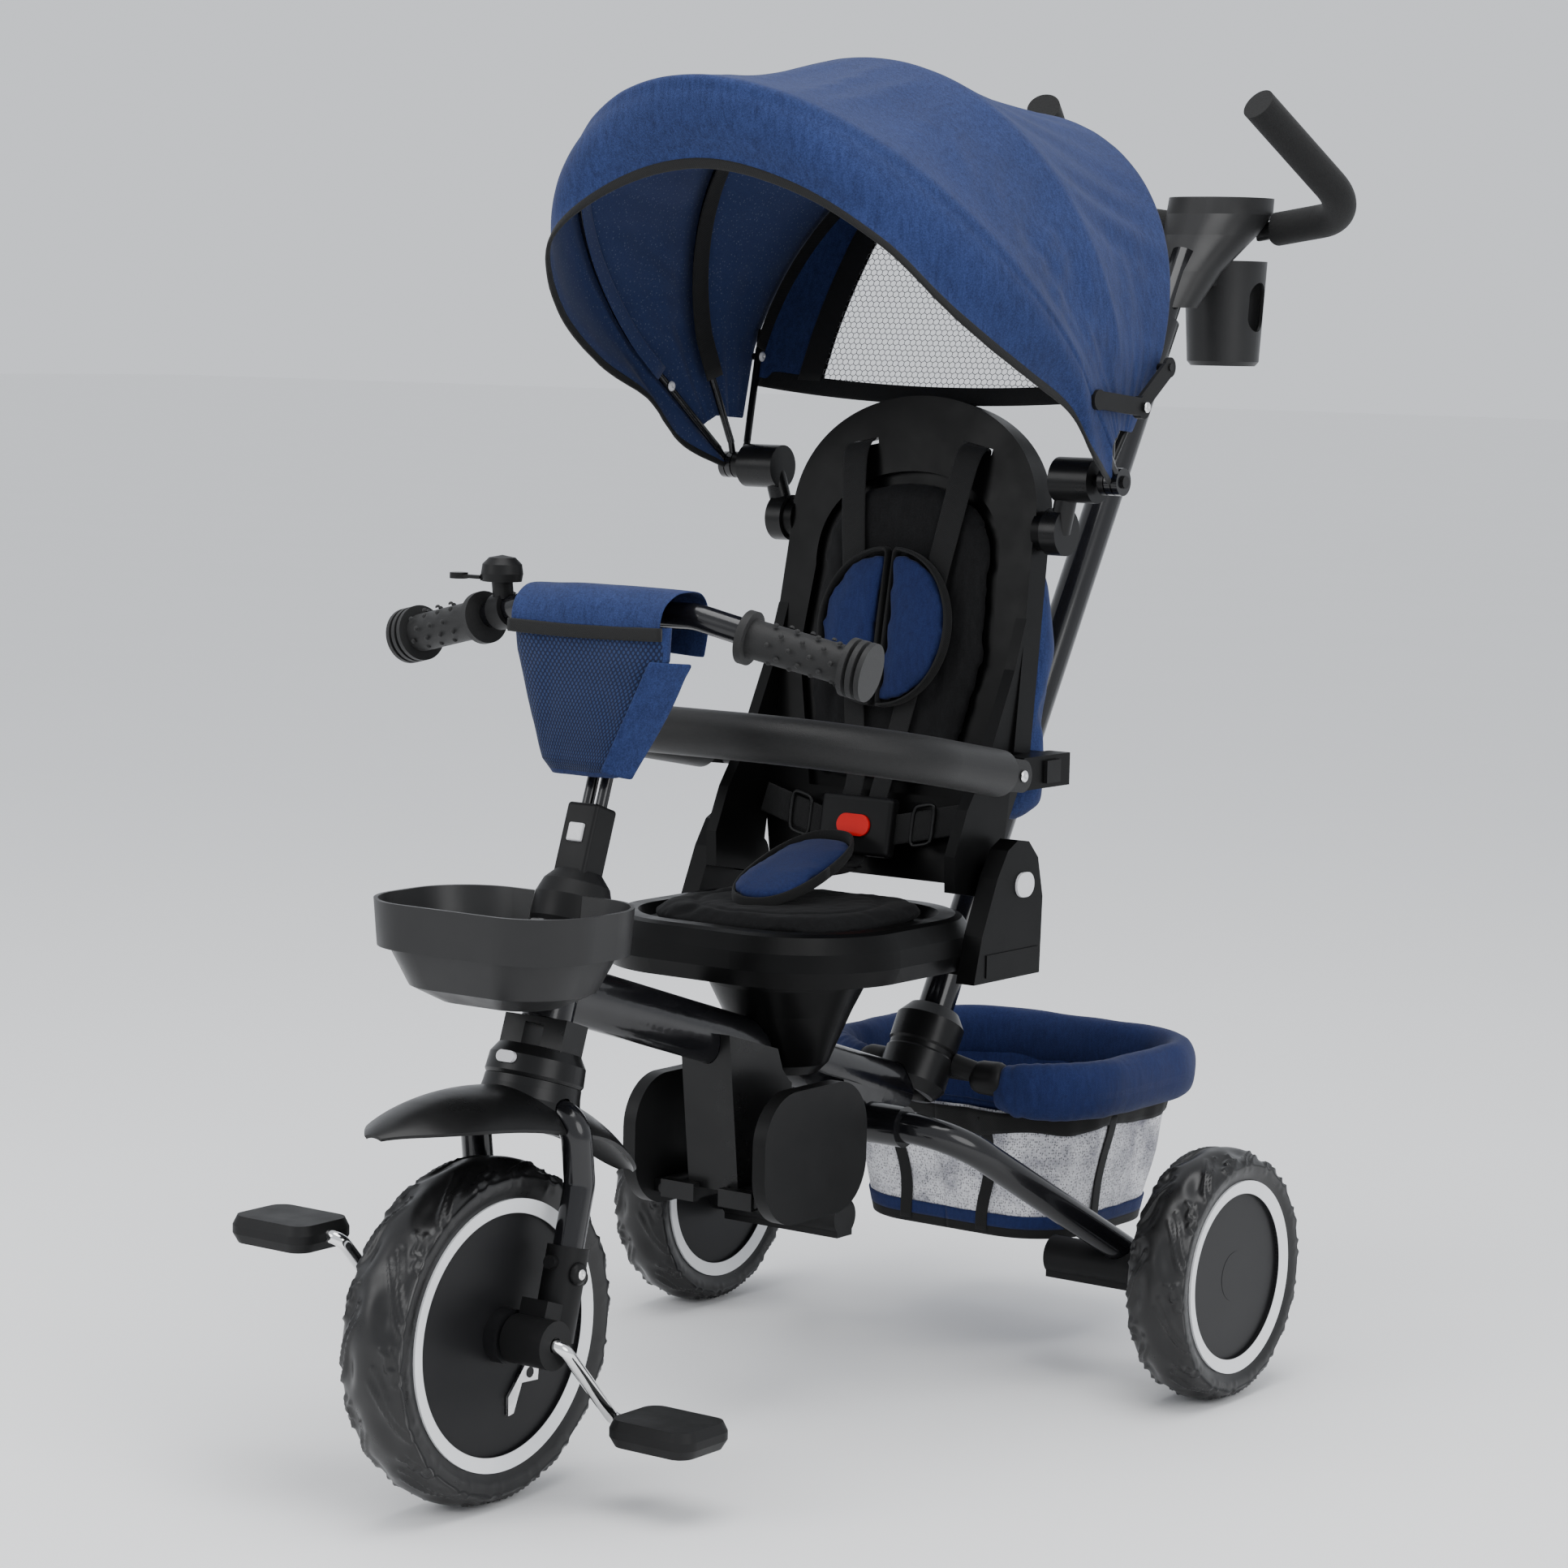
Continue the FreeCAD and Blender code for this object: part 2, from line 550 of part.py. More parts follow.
def footrest(side):
    """A D-shaped pad standing upright on a knuckle around its pin."""
    pad = level_loft([(104, REST_BACK - REST_FRONT, 40, Vector(0, 0, -6)),
                      (104, REST_BACK - REST_FRONT, 40, Vector(0, 0, 6))])
    middle = at(side * 63, (REST_BACK + REST_FRONT) / 2, 218)
    pad.Placement = Placement(middle, Rotation(Vector(0, 1, 0), 90))
    knuckle_low = at(side * REST_PIN[0], -331.5, REST_PIN[2])
    barrel = rod(knuckle_low, knuckle_low + Vector(0, 83, 0), 8)
    web = Part.makeBox(16, 83, 10, at(min(side * 44, side * 60), -331.5, 177))
    hole = rod(knuckle_low - Vector(0, 20, 0), knuckle_low + Vector(0, 110, 0), 4 + dim("running_gap"))
    return pad.fuse([barrel, web]).cut(hole)


for side, name in SIDES:
    solid("footrest_" + name, footrest(side))

# Rear legs: a collar on the fold shaft, and a bent tube out and back to each axle.


def rear_leg(side):
    collar = rod(FOLD_AXIS + LEFT * (side * 36), FOLD_AXIS + LEFT * (side * 70), 16.5)
    bore = rod(FOLD_AXIS, FOLD_AXIS + LEFT * (side * 64), 9 + dim("running_gap"))
    points = [at(side * 64.5, -170, 221), at(side * 112, -168, 221), at(side * 173, 0, 108)]
    tube = bent_tube(points, 60, dim("rear_leg_radius"))
    return collar.fuse(tube).cut(bore)


def rear_axle(side):
    """A moulded housing at the foot of the leg, and the stub axle the wheel turns on."""
    x = dim("rear_track") / 2
    housing = rod(at(side * 106, 0, 94), at(side * 227, 0, 94), 16)
    heel = Part.makeBox(121, 22, 16, at(min(side * 106, side * 227), -11, 77))
    leg_end = bent_tube([at(side * 64.5, -170, 221), at(side * 112, -168, 221), at(side * 173, 0, 108)],
                        60, dim("rear_leg_radius") + gap)
    stub = rod(at(side * 190, 0, dim("rear_tyre_radius")), at(side * (x + 18), 0, dim("rear_tyre_radius")), 6)
    return housing.fuse([heel]).fuse(stub).cut(leg_end)


solid("rear_legs", Part.makeCompound([rear_leg(1), rear_leg(-1)]))
solid("rear_axles", Part.makeCompound([rear_axle(1), rear_axle(-1)]))

REAR_RIM_RADIUS = 0.765 * dim("rear_tyre_radius")
for side, name in SIDES:
    centre = at(side * dim("rear_track") / 2, 0, dim("rear_tyre_radius"))
    solid("rear_tyre_" + name, tyre(dim("rear_tyre_radius"), dim("rear_tyre_width"),
                                    REAR_RIM_RADIUS + gap, centre))
    disc = rim(REAR_RIM_RADIUS, dim("rear_tyre_width"), 2.0, centre)
    hub_end = rod(centre + LEFT * (side * 19), centre + LEFT * (side * 40), 30)
    bore = rod(centre - LEFT * (side * 40), centre + LEFT * (side * 18.4), axle_bore)
    hub = rod(centre - LEFT * (side * 29), centre + LEFT * (side * 19.2), 20)
    plain = disc.cut(hub_end).fuse(hub).cut(bore)
    solid("rear_rim_" + name, plain)

# Seat: a pedestal astride the main tube, a dished base with an arm at each side, and a pad.
SEAT_Y = -238.0
seat_top = dim("seat_rim_height")
width = dim("seat_width")
length = dim("seat_length")


def seat_section(inset, radius, height):
    return (width - 2 * inset, length - 2 * inset, radius, at(0, SEAT_Y, height))


pedestal = turned([(0, 268), (26, 268), (34, 276), (52, 318), (63, 340), (66, 349.7), (0, 349.7)],
                  at(0, SEAT_Y, 0), UP)
solid("seat_pedestal", pedestal.cut(tube_room))

RECLINE = at(0, -dim("recline_ahead"), dim("recline_height"))
base = level_loft([seat_section(34, 64, 350), seat_section(6, 88, 355), seat_section(0, 94, 368),
                   seat_section(1, 93, 382), seat_section(9, 86, 394), seat_section(14, 82, seat_top)])
dish = level_loft([seat_section(34, 62, seat_top - 8), seat_section(26, 70, seat_top + 1)])
arm_outline = ((-196, 347), (-102, 347), (-100, 408), (-108, 440), (-122, 454), (-138, 456), (-152, 449),
               (-166, 428), (-186, 384))


def seat_arm(side):
    plate = prism([at(side * 132, y, z) for y, z in arm_outline], LEFT * (side * 17))
    foot = Part.makeBox(60, 74, 18, at(min(side * 90, side * 150), -180, 351))
    return plate.fuse(foot)


def arm_hollows(side):
    """Where the recline pivot turns, and the well its button slides in."""
    pivot = rod(RECLINE + LEFT * (side * 130), RECLINE + LEFT * (side * 139.5), 8 + dim("running_gap"))
    well = stadium(25, 20, 8, RECLINE + LEFT * (side * 141.5), LEFT * side, UP)
    return [pivot, well]


under = level_loft([seat_section(38, 60, 346), seat_section(12, 84, 354.5), seat_section(6, 88, 368),
                    seat_section(10, 84, 380)])
under = under.cut(rod(at(0, SEAT_Y, 340), at(0, SEAT_Y, 390), 70))
seat = base.fuse([seat_arm(1), seat_arm(-1)]).cut(dish).cut(under)
solid("seat_base", seat.cut(Part.makeCompound(arm_hollows(1) + arm_hollows(-1))))
solid("seat_pad", level_loft([seat_section(35, 61, seat_top - 7.5), seat_section(31, 66, seat_top),
                              seat_section(44, 54, seat_top + 3.5)]))
for side, name in SIDES:
    solid("recline_button_" + name,
          stadium(24.6, 19.6, 6, RECLINE + LEFT * (side * 145), LEFT * side, UP))

CROTCH_TILT = 20.0
leaf = level_loft([(64, 120, 30, Vector(0, 0, -5)), (70, 126, 33, Vector(0, 0, 0)),
                   (62, 118, 29, Vector(0, 0, 5))])
leaf.Placement = Placement(at(-8, -222, 427), Rotation(LEFT, CROTCH_TILT))
solid("crotch_pad", leaf)

# Backrest: everything below is placed in its leaning frame: x left, y behind its face, z up it.
BACK = Placement(RECLINE, Rotation(LEFT, -dim("back_lean")))
half = dim("back_width") / 2
height = dim("back_height")


def in_back(shape):
    placed = shape.copy()
    placed.Placement = BACK.multiply(placed.Placement)
    return placed


def back_outline(inset, low, high, depth, thick):
    """The backrest's outline, narrower at the foot and arched at the top, as a plate."""
    a = half - inset
    arch = 112 - inset
    right_foot = Vector(-a + 26, depth, low)
    left_foot = Vector(a - 26, depth, low)
    left_hip = Vector(a, depth, low + 110)
    right_hip = Vector(-a, depth, low + 110)
    left_top = Vector(a - 6, depth, high - arch)
    right_top = Vector(-a + 6, depth, high - arch)
    crown = Vector(0, depth, high)
    slant = math.sin(math.radians(45))
    left_turn = Vector((a - 6) * slant + 4, depth, high - arch + arch * slant + 3)
    right_turn = Vector(-left_turn.x, depth, left_turn.z)
    top = Part.BSplineCurve()
    top.interpolate([left_top, left_turn, crown, right_turn, right_top])
    edges = [Part.makeLine(right_foot, left_foot), Part.makeLine(left_foot, left_hip),
             Part.makeLine(left_hip, left_top), top.toShape(), Part.makeLine(right_top, right_hip),
             Part.makeLine(right_hip, right_foot)]
    return Part.Face(Part.Wire(edges)).extrude(Vector(0, thick, 0))


shell = back_outline(0, -6, height, 0, 24)
shell_hollow = back_outline(7, 1, height - 7, 9, 20)
recess = back_outline(30, 62, height - 62, -1, 7.6)
wing_profile = ((6, -14), (-56, -14), (-62, 14), (-52, 52), (-30, 96), (-8, 168), (0, 210), (6, 210))
wings = [prism([Vector(side * 112, y, z) for y, z in wing_profile], LEFT * (side * 10)) for side in (1, -1)]
SLOT_HEIGHT = 345.0
slots = []
for side in (1, -1):
    slot = Part.makeBox(30, 40, 5, Vector(-15, -5, -2.5))
    slot.Placement = Placement(Vector(side * 56, 0, SLOT_HEIGHT), Rotation(Vector(0, 1, 0), side * 12))
    slots.append(slot)
pivots = [rod(Vector(side * 112, 0, 0), Vector(side * 139, 0, 0), 8) for side in (1, -1)]
pivot_roots = [rod(Vector(side * 112, 0, 0), Vector(side * 131, 0, 0), 15) for side in (1, -1)]
shell = shell.cut(shell_hollow).cut(recess).cut(Part.makeCompound(slots))
shell = shell.fuse(wings + pivots + pivot_roots)

# Guardrail sockets stand on the sides of the backrest shell, level with the rail's ends.
RAIL_Y = -138.0
RAIL_Z = 507.0
rail_axis = at(0, RAIL_Y, RAIL_Z)


def rail_socket(side):
    """An arm forward to the rail's rivet, with a well for the release button."""
    block = Part.makeBox(20, 68, 26, at(min(side * 126, side * 146), -128, RAIL_Z - 13))
    root = Part.makeBox(20, 34, 26, at(min(side * 110, side * 130), -104, RAIL_Z - 13))
    boss = rod(rail_axis + LEFT * (side * 126), rail_axis + LEFT * (side * 138), 13)
    bore = rod(rail_axis + LEFT * (side * 130), rail_axis + LEFT * (side * 140), 4 + dim("running_gap"))
    well = Part.makeBox(9, 20.4, 18.4, at(min(side * 138, side * 147), -98.2, RAIL_Z - 9.2))
    eye_room = rod(rail_axis + LEFT * (side * 138), rail_axis + LEFT * (side * 160), 13.6)
    return block.fuse([root, boss]).cut(bore).cut(well).cut(eye_room)


knob_roots = [rod(Vector(side * 118, 12, 282), Vector(side * 127, 12, 282), 16) for side in (1, -1)]
back_shell = in_back(shell.fuse(knob_roots)).fuse([rail_socket(1), rail_socket(-1)])
solid("back_shell", back_shell)
solid("back_pad", in_back(back_outline(30.6, 62.6, height - 62.6, -4, 10.3)))

for side, name in SIDES:
    button = Part.makeBox(8, 20, 18, at(min(side * 141, side * 149), -98, RAIL_Z - 9))
    solid("guardrail_button_" + name, button)


def rail_end(side):
    """The rail's end bracket, with the pivot pin through it."""
    eye = rod(rail_axis + LEFT * (side * 138.6), rail_axis + LEFT * (side * 152), 13)
    neck = prism([at(side * 138.6, y, z) for y, z in ((-138, 494), (-138, 520), (-168, 525), (-172, 498))],
                 LEFT * (side * 13.4))
    pin = rod(rail_axis + LEFT * (side * 131), rail_axis + LEFT * (side * 153), 4)
    return eye.fuse([neck, pin])


rail_points = [at(146, -164, 511), at(146, -352, 544), at(-146, -352, 544), at(-146, -164, 511)]
rail = bent_tube(rail_points, 110, 18.5)
solid("guardrail_bar", rail.fuse([rail_end(1), rail_end(-1)]))

# Harness, lying on the backrest pad.
BUCKLE_Z = 32.0


def strap_half(side):
    """One shoulder strap from its slot down to the buckle, bowed clear of the pad."""
    corners = ((44, 349), (68, 343.9), (46, 200), (20, 66), (4, 66), (22, 200))
    run = [Vector(side * x, -15, z) for x, z in corners]
    tail = Part.makeBox(24, 15, 2.4, Vector(-12, -14, -1.2))
    tail.Placement = Placement(Vector(side * 56, 0, SLOT_HEIGHT), Rotation(Vector(0, 1, 0), side * 12))
    return prism(run, Vector(0, 2, 0)).fuse(tail)


waist = [prism([Vector(side * x, -15, z) for x, z in ((36, 22), (36, 46), (104, 58), (104, 34))],
               Vector(0, 2, 0)) for side in (1, -1)]
straps = Part.makeCompound([strap_half(1), strap_half(-1)] + waist)
solid("harness_straps", in_back(straps))


def shoulder_pad(side):
    """Half an oval, straight along its inner edge."""
    oval = Part.Ellipse(Vector(0, 0, 0), 63, 57)
    oval.Center = Vector(0, 0, 0)
    face = Part.Face(Part.Wire([oval.toShape()])).extrude(UP * 9)
    face.Placement = Placement(Vector(side * 4, -16, 194), Rotation(UP, LEFT, Vector(0, -1, 0), "ZXY"))
    keep = Part.makeBox(80, 30, 200, Vector(min(side * 4, side * 84), -40, 94))
    return face.common(keep)


solid("shoulder_pads", in_back(Part.makeCompound([shoulder_pad(1), shoulder_pad(-1)])))
buckle = softened(Part.makeBox(70, 13, 48, Vector(-35, -29, BUCKLE_Z - 24)), 4)
face_out = Vector(0, -1, 0)
buckle_well = stadium(32, 18, 9, Vector(0, -21, BUCKLE_Z), face_out, UP)
solid("harness_buckle", in_back(buckle.cut(buckle_well)))
solid("buckle_button", in_back(stadium(31.6, 17.6, 6, Vector(0, -25, BUCKLE_Z), face_out, UP)))

# Storage bag behind the backrest.
bag = level_loft([(206, 46, 18, Vector(0, 54, 44)), (236, 66, 24, Vector(0, 60, 62)),
                  (236, 62, 24, Vector(0, 58, 196)), (226, 42, 18, Vector(0, 47, 258))])
arm_room = [Part.makeBox(30, 44, 34, at(min(side * 104, side * 134), -110, RAIL_Z - 17)) for side in (1, -1)]
solid("back_bag", in_back(bag).cut(Part.makeCompound(arm_room)))

# Canopy: three bows turn about one axis above the backrest's knobs.
CANOPY = at(0, -dim("canopy_ahead"), dim("canopy_height"))
BOW_RADIUS = 3.2
REAR_BOW = (114.3, 320.5, 195.0, 104.0, 180.0)
MID_BOW = (74.0, 336.0, 202.0, 109.0, 186.5)
FRONT_BOW = (43.2, 434.0, 212.0, 144.0, 193.0)


def bow_wire(turn, reach, half_width, straight, root, grow=0.0, start=20.0, closed=False):
    """An arch in a plane through the canopy axis: straight sides, then half an ellipse."""
    angle = math.radians(turn)
    out = Vector(0, -math.cos(angle), math.sin(angle))
    centre = CANOPY + out * straight
    a = reach - straight + grow
    b = half_width + grow
    left = centre + LEFT * b
    right = centre - LEFT * b
    if a > b:
        ellipse = Part.Ellipse(centre + out * a, centre - LEFT * b, centre)
    else:
        ellipse = Part.Ellipse(centre - LEFT * b, centre + out * a, centre)
    arch = Part.ArcOfEllipse(ellipse, ellipse.parameter(right), ellipse.parameter(right) + math.pi)
    arch = arch.toShape()
    middle = arch.valueAt((arch.FirstParameter + arch.LastParameter) / 2)
    if (middle - (centre + out * a)).Length > 1:
        arch = Part.ArcOfEllipse(ellipse, ellipse.parameter(left),
                                 ellipse.parameter(left) + math.pi).toShape()
    left_root = CANOPY + out * start + LEFT * (root + grow)
    right_root = CANOPY + out * start - LEFT * (root + grow)
    edges = [Part.makeLine(left_root, left), arch, Part.makeLine(right, right_root)]
    if closed:
        edges.append(Part.makeLine(right_root, left_root))
    return Part.Wire(Part.__sortEdges__(edges)), left_root, left - left_root


def bow(shape, grow=0.0):
    wire, root, way = bow_wire(*shape)
    ring = Part.Wire(Part.makeCircle(BOW_RADIUS + grow, root, way))
    return wire.makePipeShell([ring], True, False)


def bow_eyes(shape, bored=True):
    """The flat eye at each foot of a bow, on the canopy axis."""
    turn, reach, half_width, straight, root = shape
    angle = math.radians(turn)
    out = Vector(0, -math.cos(angle), math.sin(angle))
    eyes = []
    for side in (1, -1):
        eye = rod(CANOPY + LEFT * (side * (root - 2.7)), CANOPY + LEFT * (side * (root + 2.7)), 11)
        neck = rod(CANOPY + LEFT * (side * root), CANOPY + LEFT * (side * root) + out * 24, 2.7)
        piece = eye.fuse(neck)
        if bored:
            piece = piece.cut(rod(CANOPY + LEFT * (side * 150), CANOPY + LEFT * (side * 205),
                                  5 + dim("running_gap")))
        eyes.append(piece)
    return eyes


def canopy_clamp(side):
    """A knob on the backrest, a neck up to the canopy axis and the pin that the bows turn on."""
    knob_at = BACK.multVec(Vector(side * 127.3, 12, 282))
    knob = rod(knob_at, knob_at + LEFT * (side * 15), 19)
    drum = rod(CANOPY + LEFT * (side * 136), CANOPY + LEFT * (side * 172), 18)
    neck = rod(knob_at + LEFT * (side * 8), CANOPY + LEFT * (side * 146), 9)
    pin = rod(CANOPY + LEFT * (side * 170), CANOPY + LEFT * (side * 198), 5)
    return drum.fuse([knob, neck, pin])


rear_turn = math.radians(REAR_BOW[0])
REAR_OUT = Vector(0, -math.cos(rear_turn), math.sin(rear_turn))
STAY_REAR = CANOPY + REAR_OUT * 99
stay_studs = [rod(STAY_REAR + LEFT * (side * 192), STAY_REAR + LEFT * (side * 212), 3) for side in (1, -1)]
rear_bow = bow(REAR_BOW).fuse(bow_eyes(REAR_BOW, False) + [canopy_clamp(1), canopy_clamp(-1)] + stay_studs)
solid("canopy_rear_bow", rear_bow)
solid("canopy_mid_bow", bow(MID_BOW).fuse(bow_eyes(MID_BOW)))
solid("canopy_front_bow", bow(FRONT_BOW).fuse(bow_eyes(FRONT_BOW)))

# Stays: on each side a pair of links that folds at a hub, beside the canopy.
front_turn = math.radians(FRONT_BOW[0])
STAY_FRONT = CANOPY + Vector(0, -math.cos(front_turn), math.sin(front_turn)) * 95
STAY_HUB = at(0, -75, 797)


def link(start, end, x, thick, side, hole_at, hole):
    """A flat link with round ends, bored at one of them."""
    across = LEFT * (side * x)
    depth = LEFT * (side * thick)
    way = (end - start).normalize()
    lift = way.cross(LEFT) * 7
    plate = prism([start + across + lift, end + across + lift, end + across - lift,
                   start + across - lift], depth)
    ends = [rod(start + across, start + across + depth, 8), rod(end + across, end + across + depth, 9)]
    bore = rod(hole_at + across - depth, hole_at + across + depth * 2, hole)
    return plate.fuse(ends).cut(bore)


rear_links = []
front_links = []
for side in (1, -1):
    rear_link = link(STAY_REAR, STAY_HUB, 208, 3, side, STAY_REAR, 3 + dim("running_gap"))
    hub_pin = rod(STAY_HUB + LEFT * (side * 209), STAY_HUB + LEFT * (side * 217), 3.5)
    rear_links.append(rear_link.fuse(hub_pin))
    front_links.append(link(STAY_FRONT, STAY_HUB, 211.4, 3.4, side, STAY_HUB, 3.5 + dim("running_gap")))
solid("stay_rear_links", Part.makeCompound(rear_links))
solid("stay_front_links", Part.makeCompound(front_links))

# Canopy fabric: a thin shell over the bows, open in front and below, closed behind by its window.
FABRIC = 2.0
fabric_bows = [(34.2, 393.0, 211.0, 138.0, 193.0), FRONT_BOW, MID_BOW, REAR_BOW]


def stretched(first, second, turn):
    """A bow shape carried on in a straight line to another angle."""
    share = (turn - first[0]) / (second[0] - first[0])
    return tuple(a + (b - a) * share for a, b in zip(first, second))


def fabric_solid(bows, grow, start):
    wires = [bow_wire(*shape, grow, start, True)[0] for shape in bows]
    return Part.makeLoft(wires, True, True)


inner_bows = [stretched(fabric_bows[0], fabric_bows[1], 31)] + fabric_bows[1:3]
inner_bows.append(stretched(MID_BOW, REAR_BOW, 114.6))
outside = fabric_solid(fabric_bows + [stretched(MID_BOW, REAR_BOW, 116.9)], BOW_RADIUS + 1 + FABRIC, 8)
inside = fabric_solid(inner_bows[:3] + [REAR_BOW, stretched(MID_BOW, REAR_BOW, 116.3)], BOW_RADIUS + 1, -6)
foot_room = Part.makeCylinder(38, 460, CANOPY - LEFT * 230, LEFT)
window_low = Part.makeBox(300, 120, 120, at(-150, -90, 690))
stud_room = [rod(STAY_REAR + LEFT * (side * 180), STAY_REAR + LEFT * (side * 230), 6) for side in (1, -1)]
link_room = [link(STAY_FRONT, STAY_HUB, 210.8, 12, side, STAY_HUB, 1) for side in (1, -1)]
fabric = outside.cut(inside).cut(foot_room).cut(window_low).cut(Part.makeCompound(stud_room + link_room))
fabric = fabric.cut(bow(REAR_BOW, 0.5))
solid("canopy_fabric", fabric)

# Push handle: a socket behind the seat, a sleeve, and the sliding tube with its head.
push = math.radians(dim("push_lean"))
PUSH_UP = Vector(0, math.sin(push), math.cos(push))
PUSH_BASE = at(0, -46, 258)


def on_push(up):
    return PUSH_BASE + PUSH_UP * up


socket = turned([(0, -38), (22, -38), (29, -29), (29, -4), (27.5, -2), (27.5, 2), (29, 4), (29, 26), (21, 37),
                 (0, 37)], PUSH_BASE, PUSH_UP)
sleeve_room = rod(on_push(-14 - gap), on_push(60), dim("sleeve_radius") + gap)
solid("handle_socket", socket.cut(sleeve_room).cut(oval_bar(MAIN_FRONT, MAIN_REAR + main_way * 30, gap)))

sleeve = primitive("Cylinder", on_push(-14), PUSH_UP, Radius="dims.sleeve_radius", Height="717")
sleeve_bore = primitive("Cylinder", on_push(6), PUSH_UP, Height="900",
                        Radius="dims.push_tube_radius + dims.running_gap")
node(less("handle_sleeve", sleeve, [sleeve_bore]))

TUBE_LOW = 560.0
TUBE_HIGH = 772.0
push_tube = primitive("Cylinder", on_push(TUBE_LOW), PUSH_UP, Radius="dims.push_tube_radius", Height="212")
tube_inside = primitive("Cylinder", on_push(TUBE_LOW - 5), PUSH_UP, Height="240",
                        Radius="dims.push_tube_radius - 1.5")
node(less("handle_tube", push_tube, [tube_inside]))

HEAD_TOP = 977.0
CUP_Y = 414.0
housing = level_loft([
    (42, 40, 19, at(0, 324, 878)),
    (58, 52, 25, at(0, 349, 910)),
    (84, 72, 35, at(0, 384, 943)),
    (97, 82, 40, at(0, 400, 962)),
    (96, 81, 40, at(0, 403, HEAD_TOP)),
])
HORN_ROOT = (50.0, 418.0, 950.0)
HORN_CORNER = (143.0, 392.0, 962.0)
HORN_TIP = (109.0, 272.0, 1052.0)


def horn(side):
    """A hooked foam grip: out from the head, round, and forward to its round tip."""
    points = [sided(HORN_ROOT, side), sided(HORN_CORNER, side), sided(HORN_TIP, side)]
    return bent_tube(points, 45, dim("foam_radius"))


def horn_core(side, radius):
    way = (sided(HORN_CORNER, side) - sided(HORN_ROOT, side)).normalize()
    return rod(sided(HORN_ROOT, side) - way * 24, sided(HORN_ROOT, side) + way * 30, radius)


tube_socket = rod(on_push(700), on_push(TUBE_HIGH + gap), dim("push_tube_radius") + gap)
cup_way = rod(at(0, CUP_Y - 6, 890), at(0, CUP_Y - 6, HEAD_TOP + 5), 30)
housing = housing.fuse([horn_core(1, 8), horn_core(-1, 8)]).cut(tube_socket).cut(cup_way)
solid("handle_housing", housing)
grips = [horn(side).cut(horn_core(side, 8 + gap)) for side in (1, -1)]
solid("handle_grips", Part.makeCompound(grips).cut(level_loft([
    (98, 83, 41, at(0, 400, 930)), (98, 83, 41, at(0, 403, HEAD_TOP + 10))])))

cup = turned([(0, 827), (29, 827), (32.5, 831), (37.5, 921), (35, 921), (30, 833), (26, 830), (0, 830)],
             at(0, CUP_Y, 0), UP)
cup_windows = [stadium(44, 26, 90, at(0, CUP_Y, 880), LEFT * side, UP) for side in (1, -1)]
turned_windows = []
for window in cup_windows:
    upright = window.copy()
    upright.rotate(at(0, CUP_Y, 880), LEFT, 90)
    turned_windows.append(upright)
drain = rod(at(0, CUP_Y, 815), at(0, CUP_Y, 845), 7)
hanger = Part.makeBox(24, 16, 30, at(-12, CUP_Y - 42, 898))
cup = cup.cut(Part.makeCompound(turned_windows + [drain]))
head_shape = level_loft([(44, 42, 20, at(0, 324, 877)), (60, 54, 26, at(0, 349, 909)),
                         (86, 74, 36, at(0, 384, 942.6)),
                         (99, 84, 41, at(0, 400, 961)), (99, 84, 41, at(0, 403, 990))])
cup_void = turned([(0, 831), (31, 834), (35, 921), (35, 960), (0, 960)], at(0, CUP_Y, 0), UP)
solid("cup_holder", cup.fuse(hanger.cut(cup_void)).cut(head_shape))

# Storage basket: a hoop carried by the handle socket, and a soft tub hung on it.
HOOP_Z = 240.0
HOOP = (130.0, -26.0, 206.0)


def hoop_path(z):
    half_width, front, rear = HOOP
    middle = (front + rear) / 2
    return rounded_rectangle(2 * half_width, rear - front, 72, at(0, middle, z))


def hoop_tube(radius, bore=0.0):
    path = hoop_path(HOOP_Z)
    start = path.Edges[1].valueAt(path.Edges[1].FirstParameter)
    way = path.Edges[1].tangentAt(path.Edges[1].FirstParameter)
    return path.makePipeShell([Part.Wire(Part.makeCircle(radius, start, way))], True, False)


hoop = hoop_tube(6)
carriers = [rod(at(side * 24, -36, 249), at(side * 52, -26, HOOP_Z), 9) for side in (1, -1)]
socket_room = rod(on_push(-60), on_push(60), 29 + gap)
solid("basket_carrier", hoop.fuse(carriers).cut(socket_room))
hoop_mid = (HOOP[1] + HOOP[2]) / 2


def basket_section(inset, height, radius):
    return (2 * (HOOP[0] - inset), HOOP[2] - HOOP[1] - 2 * inset, radius, at(0, hoop_mid, height))


tub = level_loft([basket_section(34, 100, 50), basket_section(26, 106, 56), basket_section(2, 240, 72)])
tub_void = level_loft([basket_section(37, 103, 48), basket_section(29, 108, 54), basket_section(6, 270, 68)])
rolled = hoop_tube(17)
notch = Part.makeBox(128, 60, 60, at(-64, -60, 222))
tub = tub.cut(tub_void).fuse(rolled).cut(hoop_tube(6 + gap)).cut(notch)
solid("storage_basket", tub)

doc.recompute()
for feature in doc.Objects:
    if "Invalid" in feature.State or "Error" in feature.State:
        raise RuntimeError("%s did not recompute" % feature.Label)
for feature in nodes:
    if feature.Shape.isNull() or not feature.Shape.isValid() or not feature.Shape.Solids:
        raise RuntimeError("%s is not a valid solid" % feature.Label)

os.makedirs("parts", exist_ok=True)
for feature in nodes:
    feature.Shape.exportStep("parts/%s.step" % feature.Label)
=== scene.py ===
"""The looks of the push tricycle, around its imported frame. Metres, +Z up, it drives towards -Y."""

import json
import math

import bmesh
import bpy
import numpy as np
from mathutils import Matrix, Quaternion, Vector, noise


